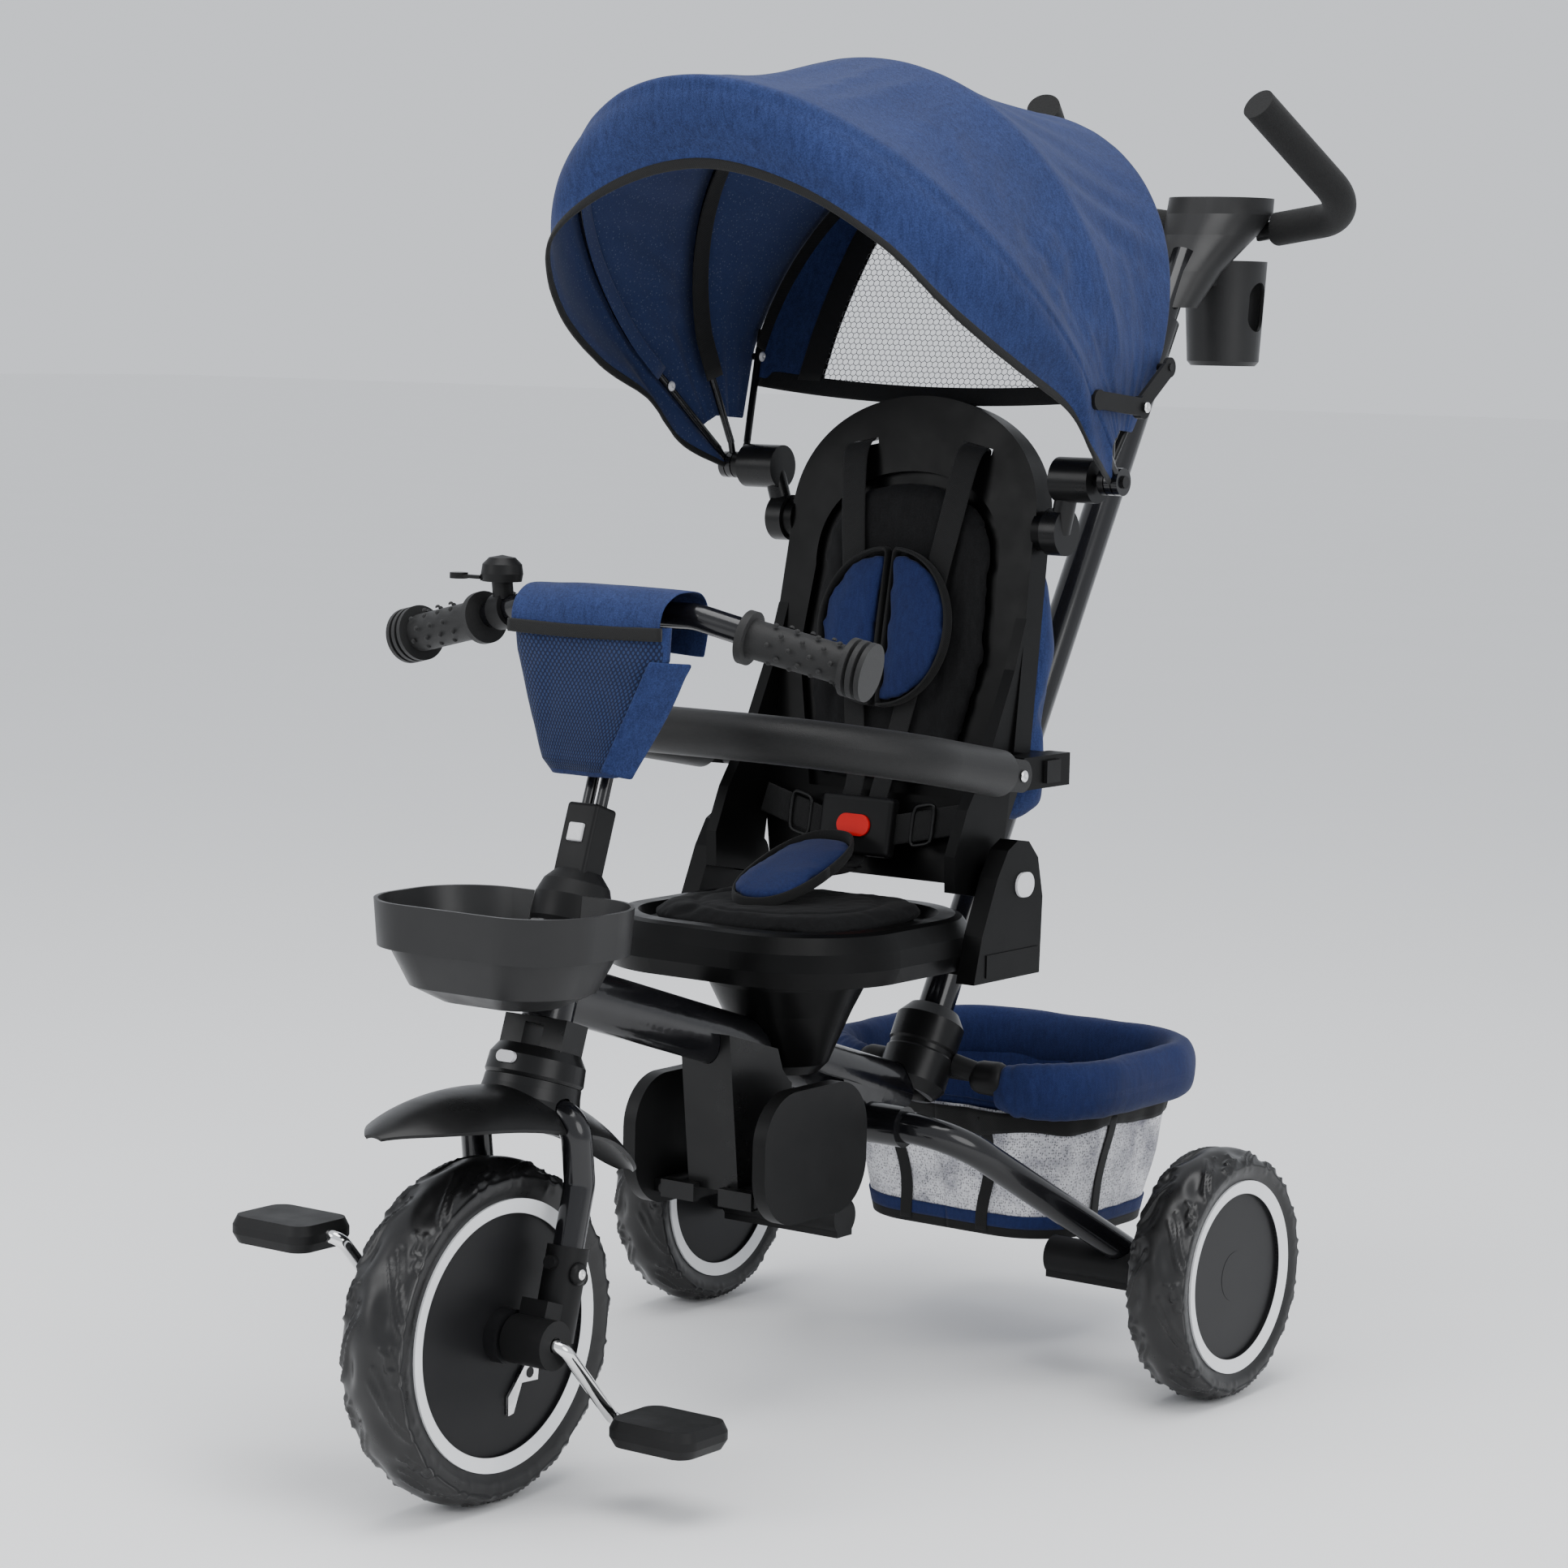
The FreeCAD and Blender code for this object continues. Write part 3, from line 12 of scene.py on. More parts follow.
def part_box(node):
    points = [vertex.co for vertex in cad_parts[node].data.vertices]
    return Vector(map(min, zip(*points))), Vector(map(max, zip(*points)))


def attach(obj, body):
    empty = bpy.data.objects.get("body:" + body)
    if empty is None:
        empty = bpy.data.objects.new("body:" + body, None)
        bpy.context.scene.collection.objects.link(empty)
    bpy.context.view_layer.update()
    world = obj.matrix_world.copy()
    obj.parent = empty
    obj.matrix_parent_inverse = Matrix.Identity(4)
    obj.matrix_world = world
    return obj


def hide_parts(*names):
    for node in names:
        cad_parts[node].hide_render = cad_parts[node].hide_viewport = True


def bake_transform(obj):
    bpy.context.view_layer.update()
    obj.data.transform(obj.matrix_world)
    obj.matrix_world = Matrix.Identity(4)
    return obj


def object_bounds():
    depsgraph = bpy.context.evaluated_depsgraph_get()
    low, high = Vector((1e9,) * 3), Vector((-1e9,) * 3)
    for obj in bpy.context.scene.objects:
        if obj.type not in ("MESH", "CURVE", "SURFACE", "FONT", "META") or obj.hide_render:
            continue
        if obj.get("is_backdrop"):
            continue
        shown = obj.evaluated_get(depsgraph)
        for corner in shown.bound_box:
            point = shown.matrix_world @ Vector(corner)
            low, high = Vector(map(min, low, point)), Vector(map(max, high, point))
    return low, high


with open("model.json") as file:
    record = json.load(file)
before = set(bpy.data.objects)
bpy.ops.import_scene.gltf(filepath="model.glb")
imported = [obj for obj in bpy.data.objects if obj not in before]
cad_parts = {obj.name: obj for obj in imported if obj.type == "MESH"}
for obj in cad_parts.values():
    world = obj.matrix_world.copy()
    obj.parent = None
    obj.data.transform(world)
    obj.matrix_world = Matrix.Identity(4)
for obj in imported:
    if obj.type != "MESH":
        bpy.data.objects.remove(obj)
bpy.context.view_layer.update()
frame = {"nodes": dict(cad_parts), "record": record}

JOINTS = {joint["name"]: joint for joint in frame["record"]["behaviour"]["joints"]}
LEFT = Vector((1, 0, 0))
UP = Vector((0, 0, 1))
SIDES = ((1, "left"), (-1, "right"))


def smooth(value, low, high):
    """0 below low, 1 above high, and an even turn between them."""
    share = min(1.0, max(0.0, (value - low) / (high - low)))
    return share * share * (3 - 2 * share)


def bent(value, power):
    """A value from -1 to 1 raised to a power with its sign kept: below 1 it squares off a circle."""
    return math.copysign(abs(value) ** power, value)


def circle(count):
    """(cos, sin) of evenly spaced angles once round."""
    return [(math.cos(a), math.sin(a)) for a in np.linspace(0, math.tau, count, endpoint=False)]


# ---------------------------------------------------------------- materials

class Shade:
    """A material's node tree, with short calls for the nodes used here."""

    def __init__(self, name, colour, roughness, **sockets):
        self.material = bpy.data.materials.new(name)
        self.material.use_nodes = True
        self.tree = self.material.node_tree
        self.surface = self.tree.nodes["Principled BSDF"]
        self.surface.inputs["Base Color"].default_value = (*colour, 1)
        self.surface.inputs["Roughness"].default_value = roughness
        for socket, value in sockets.items():
            self.surface.inputs[socket.replace("_", " ")].default_value = value
        self.place = self.tree.nodes.new("ShaderNodeTexCoord")

    def node(self, kind, **inputs):
        """A new node, its inputs set to values or joined to other nodes' outputs."""
        made = self.tree.nodes.new("ShaderNode" + kind)
        for name, value in inputs.items():
            self.give(made.inputs[name.replace("_", " ")], value)
        return made

    def give(self, socket, value):
        if isinstance(value, bpy.types.NodeSocket):
            self.tree.links.new(value, socket)
        else:
            socket.default_value = value

    def stretched(self, source, x, y, z):
        return self.node("Mapping", Vector=self.place.outputs[source], Scale=(x, y, z)).outputs["Vector"]

    def noise(self, scale, detail=3.0, roughness=0.5, vector=None):
        vector = vector or self.place.outputs["Object"]
        return self.node("TexNoise", Vector=vector, Scale=scale, Detail=detail,
                         Roughness=roughness).outputs["Fac"]

    def sums(self, operation, first, second=0.0):
        made = self.tree.nodes.new("ShaderNodeMath")
        made.operation = operation
        self.give(made.inputs[0], first)
        self.give(made.inputs[1], second)
        return made.outputs[0]

    def spread(self, value, low, high, new_low, new_high):
        made = self.node("MapRange", Value=value, From_Min=low, From_Max=high, To_Min=new_low,
                         To_Max=new_high)
        return made.outputs["Result"]

    def mixed(self, share, first, second):
        made = self.tree.nodes.new("ShaderNodeMix")
        made.data_type = "RGBA"
        self.give(made.inputs["Factor"], share)
        self.give(made.inputs["A"], (*first, 1) if isinstance(first, tuple) else first)
        self.give(made.inputs["B"], (*second, 1) if isinstance(second, tuple) else second)
        return made.outputs["Result"]

    def waves(self, source, across, along):
        """A plain weave: one set of threads each way, from 0 in the gaps to 1 on the threads."""
        parts = self.node("SeparateXYZ", Vector=self.place.outputs[source])
        first = self.sums("SINE", self.sums("MULTIPLY", parts.outputs["X"], math.tau / across))
        second = self.sums("SINE", self.sums("MULTIPLY", parts.outputs["Y"], math.tau / along))
        return self.spread(self.sums("MULTIPLY", first, second), -1, 1, 0, 1)

    def coloured(self, output):
        self.tree.links.new(output, self.surface.inputs["Base Color"])

    def roughened(self, output):
        self.tree.links.new(output, self.surface.inputs["Roughness"])

    def bumped(self, *layers):
        """Bump from (height, strength, distance) layers, the first the finest."""
        normal = None
        for height, strength, distance in layers:
            bump = self.node("Bump", Height=height, Strength=strength, Distance=distance)
            if normal is not None:
                self.tree.links.new(normal, bump.inputs["Normal"])
            normal = bump.outputs["Normal"]
        self.tree.links.new(normal, self.surface.inputs["Normal"])


def melange(name, dark, light, sheen=0.35, grain=0.0012):
    """Woven cloth of two shades of yarn."""
    shade = Shade(name, dark, 0.88, Sheen_Weight=sheen, Sheen_Roughness=0.5, Specular_IOR_Level=0.25)
    yarn = shade.noise(1 / grain, 2, 0.6)
    slub = shade.noise(0.35 / grain, 3, 0.6, shade.stretched("Object", 1, 1, 0.2))
    both = shade.sums("ADD", shade.sums("MULTIPLY", yarn, 0.6), shade.sums("MULTIPLY", slub, 0.4))
    tone = shade.mixed(shade.spread(both, 0.36, 0.64, 0, 1), dark, light)
    worn = shade.spread(shade.noise(9, 4), 0.3, 0.7, 0.86, 1.12)
    hue = shade.node("HueSaturation", Color=tone, Value=worn)
    shade.coloured(hue.outputs["Color"])
    shade.bumped((shade.waves("UV", 0.0016, 0.0016), 0.25, 0.0004), (yarn, 0.35, 0.0004))
    return shade.material


def moulded(name, tone, roughness, grain=0.25, gloss=0.16):
    """Injection-moulded plastic with a fine spark-eroded grain."""
    shade = Shade(name, (tone, tone, tone * 1.04), roughness, Specular_IOR_Level=gloss)
    scuff = shade.noise(14, 5, 0.6)
    shade.coloured(shade.mixed(scuff, (tone * 0.82, tone * 0.82, tone * 0.86), (tone * 1.25,) * 3))
    shade.roughened(shade.spread(shade.noise(35, 4), 0.3, 0.7, roughness - 0.05, roughness + 0.07))
    shade.bumped((shade.noise(2600, 2), grain, 0.00012), (shade.noise(60, 2), 0.08, 0.0004))
    return shade.material


def enamel():
    """Glossy black paint on steel tube."""
    shade = Shade("enamel", (0.005, 0.005, 0.006), 0.2, Specular_IOR_Level=0.3, Coat_Weight=0.3,
                  Coat_Roughness=0.05)
    shade.roughened(shade.spread(shade.noise(25, 4), 0.3, 0.7, 0.14, 0.26))
    shade.coloured(shade.mixed(shade.noise(6, 3), (0.003, 0.003, 0.004), (0.008, 0.008, 0.009)))
    shade.bumped((shade.noise(420, 2), 0.05, 0.0002))
    return shade.material


def plated(name, tone, roughness):
    """Chromed or zinc-plated steel."""
    shade = Shade(name, (tone, tone, tone * 1.02), roughness, Metallic=1.0)
    shade.roughened(shade.spread(shade.noise(90, 5), 0.3, 0.7, roughness * 0.7, roughness * 1.5))
    shade.coloured(shade.mixed(shade.noise(30, 4), (tone * 0.9,) * 3, (min(tone * 1.1, 1),) * 3))
    shade.bumped((shade.noise(900, 3), 0.06, 0.0001))
    return shade.material


def foamed(name, tone, cell, roughness=0.8):
    """Closed-cell foam, pitted all over."""
    shade = Shade(name, (tone,) * 3, roughness, Specular_IOR_Level=0.25, Sheen_Weight=0.06)
    pits = shade.node("TexVoronoi", Vector=shade.place.outputs["Object"], Scale=1 / cell).outputs["Distance"]
    shade.coloured(shade.mixed(pits, (tone * 1.35,) * 3, (tone * 0.55,) * 3))
    shade.bumped((pits, 0.35, 0.0004), (shade.noise(40, 3), 0.1, 0.0008))
    return shade.material


def tyre_foam():
    """Dense EVA with a moulded skin, duller in patches."""
    shade = Shade("tyre_foam", (0.007, 0.007, 0.0075), 0.32, Specular_IOR_Level=0.4)
    shade.coloured(shade.mixed(shade.noise(18, 5, 0.6), (0.0045, 0.0045, 0.005), (0.010, 0.0098, 0.0098)))
    shade.roughened(shade.spread(shade.noise(70, 4), 0.3, 0.7, 0.26, 0.42))
    shade.bumped((shade.noise(1500, 3), 0.12, 0.0001), (shade.noise(120, 2), 0.08, 0.0004))
    return shade.material


def wheel_disc(name, centre, ring_start):
    """Black disc plastic whose outer ring is white: the ring starts at that distance from the axle."""
    shade = Shade(name, (0.01, 0.01, 0.011), 0.42, Specular_IOR_Level=0.25)
    moved = shade.node("Mapping", Vector=shade.place.outputs["Object"], Location=tuple(-centre))
    parts = shade.node("SeparateXYZ", Vector=moved.outputs["Vector"])
    across = shade.sums("POWER", parts.outputs["Y"], 2.0)
    along = shade.sums("POWER", parts.outputs["Z"], 2.0)
    radius = shade.sums("SQRT", shade.sums("ADD", across, along))
    ring = shade.spread(radius, ring_start, ring_start + 0.0006, 0, 1)
    scuff = shade.noise(16, 5, 0.6)
    black = shade.mixed(scuff, (0.0045, 0.0045, 0.005), (0.010, 0.010, 0.011))
    white = shade.mixed(scuff, (0.72, 0.73, 0.75), (0.86, 0.87, 0.88))
    shade.coloured(shade.mixed(ring, black, white))
    shade.roughened(shade.spread(ring, 0, 1, 0.42, 0.24))
    shade.bumped((shade.noise(2200, 2), 0.2, 0.0001))
    return shade.material


def webbing(name="webbing", tone=0.007):
    """Black polyester tape with ribs across it."""
    shade = Shade(name, (tone,) * 3, 0.72, Sheen_Weight=0.06, Specular_IOR_Level=0.2)
    ribs = shade.waves("UV", 0.0022, 0.0012)
    # The colour follows the ribs: painted shade darkens the gaps between them and a painted highlight
    # lightens their tops.
    shade.coloured(shade.mixed(ribs, (tone * 0.6,) * 3, (tone * 1.9,) * 3))
    shade.bumped((ribs, 0.5, 0.0004), (shade.noise(700, 2), 0.2, 0.0003))
    return shade.material


def holed_mesh(name, dark, light, pitch):
    """Bag cloth with a hexagonal pattern of dimples."""
    shade = Shade(name, dark, 0.8, Sheen_Weight=0.08, Specular_IOR_Level=0.2)
    lattice = shade.node("Mapping", Vector=shade.place.outputs["UV"], Scale=(1.414 / pitch, 0.816 / pitch, 1),
                         Rotation=(0, 0, math.radians(45)))
    cells = shade.node("TexVoronoi", Vector=lattice.outputs["Vector"], Scale=1.0,
                       Randomness=0.06).outputs["Distance"]
    dimple = shade.spread(cells, 0.24, 0.44, 0, 1)
    shade.coloured(shade.mixed(dimple, light, dark))
    shade.bumped((dimple, 0.6, 0.0007), (shade.noise(800, 2), 0.2, 0.0003))
    return shade.material


def lining():
    """The canopy's inside: darker, with a fine pattern of light pin pricks."""
    shade = Shade("canopy_lining", (0.016, 0.028, 0.09), 0.85, Sheen_Weight=0.1, Specular_IOR_Level=0.2)
    pricks = shade.node("TexVoronoi", Vector=shade.place.outputs["Object"], Scale=330.0).outputs["Distance"]
    dots = shade.spread(pricks, 0.16, 0.24, 1, 0)
    cloth_tone = shade.mixed(shade.noise(800, 2), (0.011, 0.020, 0.066), (0.024, 0.040, 0.118))
    shade.coloured(shade.mixed(shade.sums("MULTIPLY", dots, 0.35), cloth_tone, (0.16, 0.19, 0.26)))
    shade.bumped((shade.noise(900, 2), 0.3, 0.0004))
    return shade.material


def knit():
    """The basket's open knit: light yarn with holes between."""
    shade = Shade("knit_mesh", (0.5, 0.5, 0.53), 0.85, Sheen_Weight=0.2)
    cells = shade.node("TexVoronoi", Vector=shade.stretched("UV", 560, 420, 1), Scale=1.0, Randomness=0.55)
    yarn = shade.spread(cells.outputs["Distance"], 0.28, 0.44, 0, 1)
    blotch = shade.noise(26, 4, 0.6)
    speck = shade.noise(700, 2)
    light = shade.mixed(speck, (0.34, 0.34, 0.38), (0.95, 0.95, 0.97))
    dark = shade.mixed(speck, (0.02, 0.02, 0.04), (0.40, 0.40, 0.46))
    shade.coloured(shade.mixed(shade.spread(blotch, 0.42, 0.68, 0, 1), light, dark))
    shade.tree.links.new(shade.spread(yarn, 0, 1, 0.35, 1), shade.surface.inputs["Alpha"])
    shade.bumped((yarn, 0.6, 0.0006))
    return shade.material


def pale_floor():
    shade = Shade("studio_floor", (0.93, 0.93, 0.93), 0.75, Specular_IOR_Level=0.2)
    shade.coloured(shade.mixed(shade.noise(2, 2), (0.92, 0.92, 0.92), (0.94, 0.94, 0.94)))
    return shade.material


NAVY = melange("navy_cloth", (0.0065, 0.0140, 0.058), (0.020, 0.037, 0.125), 0.04)
JERSEY = melange("navy_jersey", (0.004, 0.010, 0.052), (0.010, 0.021, 0.088), 0.06, 0.0009)
LINING = lining()
BINDING = webbing("binding_tape", 0.006)
WEBBING = webbing()
BLACK_CLOTH = melange("black_pad_cloth", (0.0015, 0.0015, 0.0018), (0.006, 0.006, 0.0065), 0.02)
HEX_MESH = holed_mesh("bag_mesh", (0.0035, 0.0075, 0.030), (0.016, 0.032, 0.095), 0.0031)
KNIT = knit()
NET_YARN = Shade("net_yarn", (0.2, 0.2, 0.21), 0.6)
NET_YARN.coloured(NET_YARN.mixed(NET_YARN.noise(300, 2), (0.15, 0.15, 0.16), (0.26, 0.26, 0.27)))
NET = NET_YARN.material
PLASTIC = moulded("moulded_plastic", 0.0075, 0.42)
SATIN = moulded("satin_plastic", 0.0065, 0.3, 0.15, 0.22)
# A darker copy of the black moulded plastic: painted shade on the seat pedestal, seat base and back shell.
SHADED_SEAT_PLASTIC = moulded("shaded_seat_plastic", 0.0028, 0.34, 0.2, 0.11)
# A lighter copy of the black moulded plastic: painted light on the tray, cup holder and handle housing.
LIT_COPY_PLASTIC = moulded("lit_copy_plastic", 0.016, 0.38, 0.2, 0.25)
PEDAL_PLASTIC = moulded("pedal_plastic", 0.010, 0.5)
GREY_BUTTON = moulded("grey_button", 0.62, 0.32, 0.1, 0.5)
ENAMEL = enamel()
CHROME = plated("chrome", 0.78, 0.1)
ZINC = plated("zinc_plate", 0.82, 0.28)
FOAM = foamed("foam_grip", 0.009, 0.0011)
RAIL_SKIN = foamed("rail_foam", 0.008, 0.0007, 0.45)
RUBBER = foamed("grip_rubber", 0.012, 0.0005, 0.55)
TYRE = tyre_foam()
RED = Shade("red_plastic", (0.62, 0.002, 0.002), 0.35, Specular_IOR_Level=0.2)
RED.coloured(RED.mixed(RED.noise(20, 3), (0.52, 0.001, 0.001), (0.7, 0.003, 0.003)))
RED = RED.material


def paint(names, material):
    """A finish for carried-over CAD nodes."""
    for name in names.split():
        piece = frame["nodes"][name]
        piece.data.materials.clear()
        piece.data.materials.append(material)


paint("main_frame fork_legs rear_legs handlebar handle_tube handle_sleeve canopy_mid_bow canopy_front_bow",
      ENAMEL)
paint("canopy_rear_bow footrest_bracket handle_socket fork_cowl steering_column front_fender", SATIN)
paint("fork_sockets height_clamp rear_axles bell_body bell_lever basket_carrier harness_buckle", PLASTIC)
# The tray, cup holder and handle housing take the lighter copy, which paints light on them.
paint("front_tray cup_holder handle_housing", LIT_COPY_PLASTIC)
paint("stay_rear_links stay_front_links footrest_left footrest_right", PLASTIC)
paint("guardrail_button_left guardrail_button_right", PLASTIC)
# The seat parts take the darker copy, which paints shade on them.
paint("seat_pedestal seat_base back_shell", SHADED_SEAT_PLASTIC)
paint("pedal_left pedal_right", PEDAL_PLASTIC)
paint("clutch_button height_button recline_button_left recline_button_right", GREY_BUTTON)
paint("buckle_button", RED)
paint("crank_axle", CHROME)
paint("freewheel_lever", ZINC)
paint("handle_grips", FOAM)
paint("guardrail_bar", RAIL_SKIN)
paint("handlebar_grips", RUBBER)
for rim, tyre in (("front_rim", "front_tyre"), ("rear_rim_left", "rear_tyre_left"),
                  ("rear_rim_right", "rear_tyre_right")):
    low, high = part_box(rim)
    paint(rim, wheel_disc(rim + "_finish", (low + high) / 2, (high.z - low.z) / 2 - 0.011))

# ---------------------------------------------------------------- mesh helpers


def linked(name, data):
    """A new object with that data, in the scene."""
    made = bpy.data.objects.new(name, data)
    bpy.context.scene.collection.objects.link(made)
    return made


def piece(name, vertices, faces, material, body=None, uvs=None, shaded=True):
    """A mesh object in the row frame that rides on a body. uvs are one (u, v) per vertex, in metres."""
    mesh = bpy.data.meshes.new(name)
    mesh.from_pydata([tuple(v) for v in vertices], [], faces)
    mesh.update()
    if uvs is not None:
        layer = mesh.uv_layers.new(name="metres")
        corners = np.array([uvs[loop.vertex_index] for loop in mesh.loops], np.float32)
        layer.data.foreach_set("uv", corners.ravel())
    mesh.polygons.foreach_set("use_smooth", [shaded] * len(mesh.polygons))
    made = linked(name, mesh)
    for one in material if isinstance(material, (list, tuple)) else [material]:
        mesh.materials.append(one)
    if body:
        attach(made, body)
    return made


def sheet_mesh(name, rows, material, body=None, round_way=False):
    """A piece from rows of points, with texture places measured in metres along and across the rows."""
    grid = np.array([[tuple(point) for point in row] for row in rows], float)
    count, length = grid.shape[:2]
    along = np.concatenate([np.zeros((count, 1)),
                            np.cumsum(np.linalg.norm(np.diff(grid, axis=1), axis=2), 1)], 1)
    along = np.tile(along.mean(0), (count, 1))
    across = np.concatenate([[0], np.cumsum(np.linalg.norm(np.diff(grid, axis=0), axis=2).mean(1))])
    uvs = [(along[i, j], across[i]) for i in range(count) for j in range(length)]
    faces = []
    for i in range(count - 1):
        for j in range(length - 1):
            faces.append((i * length + j, i * length + j + 1, (i + 1) * length + j + 1, (i + 1) * length + j))
        if round_way:
            faces.append((i * length + length - 1, i * length, (i + 1) * length,
                          (i + 1) * length + length - 1))
    return piece(name, grid.reshape(-1, 3), faces, material, body, uvs)


def modifier(made, kind, **settings):
    """A new modifier with the given settings."""
    added = made.modifiers.new(kind.lower(), kind)
    for name, value in settings.items():
        setattr(added, name, value)
    return added


def applied(made):
    """The piece with its modifiers made part of its mesh."""
    graph = bpy.context.evaluated_depsgraph_get()
    mesh = bpy.data.meshes.new_from_object(made.evaluated_get(graph))
    made.modifiers.clear()
    made.data = mesh
    return made


def rounded(made):
    """The piece with one level of subdivision."""
    modifier(made, "SUBSURF", levels=1, render_levels=1)
    return applied(made)


def thickened(made, thickness, **settings):
    """A sheet given its thickness, half to each side."""
    modifier(made, "SOLIDIFY", thickness=thickness, offset=0, **settings)
    return applied(made)


def capped(made):
    """A tube with its open ends filled."""
    mesh = bmesh.new()
    mesh.from_mesh(made.data)
    bmesh.ops.holes_fill(mesh, edges=[e for e in mesh.edges if e.is_boundary])
    mesh.to_mesh(made.data)
    mesh.free()
    return made


def curve_through(points, count, closed=False):
    """Evenly numbered points on a smooth curve through the given ones."""
    knots = [Vector(p) for p in points]
    if closed:
        ends = [knots[-1]] + knots + knots[:2]
    else:
        ends = [knots[0] * 2 - knots[1]] + knots + [knots[-1] * 2 - knots[-2]]
    spans = len(knots) if closed else len(knots) - 1
    made = []
    for index in range(count):
        place = index / (count if closed else count - 1) * spans
        span = min(int(place), spans - 1)
        t = place - span
        a, b, c, d = ends[span:span + 4]
        made.append(0.5 * ((2 * b) + (c - a) * t + (2 * a - 5 * b + 4 * c - d) * t * t
                           + (3 * b - a - 3 * c + d) * t ** 3))
    return made


def tube(name, path, radius, material, body=None, sides=16, closed=False):
    """A round piece along a path. radius is a number or one per point."""
    points = [Vector(p) for p in path]
    count = len(points)
    radii = radius if hasattr(radius, "__len__") else [radius] * count
    rows = []
    normal = None
    for index, point in enumerate(points):
        before = points[index - 1] if index or closed else point
        after = points[(index + 1) % count] if index < count - 1 or closed else point
        way = (after - before).normalized()
        if normal is None:
            normal = way.orthogonal().normalized()
        normal = (normal - way * normal.dot(way)).normalized()
        side = way.cross(normal)
        rows.append([point + (normal * c + side * s) * radii[index] for c, s in circle(sides)])
    if closed:
        rows.append(rows[0])
    made = sheet_mesh(name, rows, material, body, True)
    return made if closed else capped(made)


def screw(name, centre, out, radius, material, body, height=0.0022):
    """A domed screw or rivet head with a dimple in its middle."""
    out = Vector(out).normalized()
    turn = out.to_track_quat("Z", "Y")
    profile = ((1.0, 0.0), (1.0, 0.25), (0.92, 0.6), (0.72, 0.88), (0.45, 1.0), (0.32, 0.98), (0.2, 0.55),
               (0.02, 0.5))
    rows = [[centre + turn @ Vector((c * radius * share, s * radius * share, height * lift))
             for c, s in circle(20)] for share, lift in profile]
    return sheet_mesh(name, rows, material, body, True)


# ---------------------------------------------------------------- tyres

MODULES = 9            # repeats of the tread round a tyre
RIDGE_WIDTH = 0.0019
RIDGE_HEIGHT = 0.0022
HOLLOW_DEPTH = 0.0032
TYRE_STEPS = 450
LIP = 0.003            # the side wall's edge lies this far inside the tyre's width
LIP_HEIGHT = 0.0015
RIDGES = (((0.02, 0.95), (0.18, 0.72), (0.42, 0.50), (0.60, 0.22)),
          ((0.16, 0.97), (0.30, 0.80), (0.50, 0.62), (0.72, 0.34)),
          ((0.56, 0.98), (0.60, 0.84), (0.70, 0.86), (0.72, 0.70), (0.82, 0.72), (0.88, 0.56)),
          ((0.70, 0.99), (0.78, 0.92), (0.90, 0.80)))


def ridge_points():
    """The tread's raised lines, as points of (share of a module, share of the half width)."""
    found = []
    for line in RIDGES:
        found.extend((p.x, p.y) for p in curve_through([(x, y, 0) for x, y in line], 26))
    return np.array(found)


def tread_height(turn, across, pitch, half):
    """Height above the plain tyre: raised lines on each shoulder and hollows between the blocks."""
    points = ridge_points()
    height = np.zeros_like(turn)
    for sign, shift in ((1, 0.0), (-1, 0.5)):
        share = (turn / math.tau * MODULES + shift) % 1.0
        depth = across * sign
        near = np.full(turn.shape, 9.0)
        for x, y in points:
            gap_x = np.abs(share - x)
            gap_x = np.minimum(gap_x, 1 - gap_x) * pitch
            near = np.minimum(near, np.hypot(gap_x, (depth - y) * half * 1.35))
        lines = np.exp(-(near / RIDGE_WIDTH) ** 2) * RIDGE_HEIGHT
        fade = np.clip((depth - 0.12) / 0.2, 0, 1)
        hollow = 0.5 - 0.5 * np.cos(math.tau * share * 2 + 2.6 * depth)
        row = np.exp(-((depth - 0.5) / 0.24) ** 2)
        height += lines * fade - HOLLOW_DEPTH * hollow * row
    return height


def tyre_piece(node, body):
    """A treaded tyre in place of its CAD node, within that node's box."""
    low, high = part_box(node)
    centre = (low + high) / 2
    radius = (high.z - low.z) / 2
    half = (high.x - low.x) / 2
    rim_low, rim_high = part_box(node.replace("tyre", "rim"))
    seat = (rim_high.z - rim_low.z) / 2 + 0.0004
    shoulder = radius - 0.42 * half

    def wall_point(sign, t):
        bulge = math.sin(math.pi * t) * 0.0008
        return sign * (half - LIP * (1 - t) + bulge), seat + LIP_HEIGHT + (shoulder - seat - LIP_HEIGHT) * t

    heights = np.linspace(0, 1, 8)
    profile = [(-half + LIP, seat)] + [wall_point(-1, t) for t in heights[:-1]]
    for a in np.linspace(-1, 1, 33):
        lift = math.cos(a * math.pi / 2) ** 0.75
        profile.append((half * bent(a, 0.93), shoulder + (radius - shoulder) * lift))
    profile += [wall_point(1, t) for t in heights[::-1][:-1]] + [(half - LIP, seat)]
    profile = np.array(profile)
    turns = np.linspace(0, math.tau, TYRE_STEPS, endpoint=False)
    turn, across = np.meshgrid(turns, profile[:, 0] / half, indexing="ij")
    wall = np.clip((profile[:, 1] - seat - 0.002) / 0.004, 0, 1)[None, :]
    raised = tread_height(turn, across, math.tau * radius / MODULES, half) * wall
    reach = np.minimum(profile[:, 1][None, :] + raised, radius)
    side = profile[:, 0][None, :] + np.sign(across) * raised * 0.4 * (np.abs(across) > 0.7)
    side = np.clip(side, -half, half)
    rows = np.stack([centre.x + side, centre.y + reach * np.sin(turn), centre.z + reach * np.cos(turn)], -1)
    rows = np.concatenate([rows, rows[:1]])
    made = sheet_mesh(node + "_tread", rows, TYRE)
    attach(made, body)
    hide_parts(node)


tyre_piece("front_tyre", "front_wheel")
tyre_piece("rear_tyre_left", "rear_wheel_left")
tyre_piece("rear_tyre_right", "rear_wheel_right")

# ---------------------------------------------------------------- cloth helpers


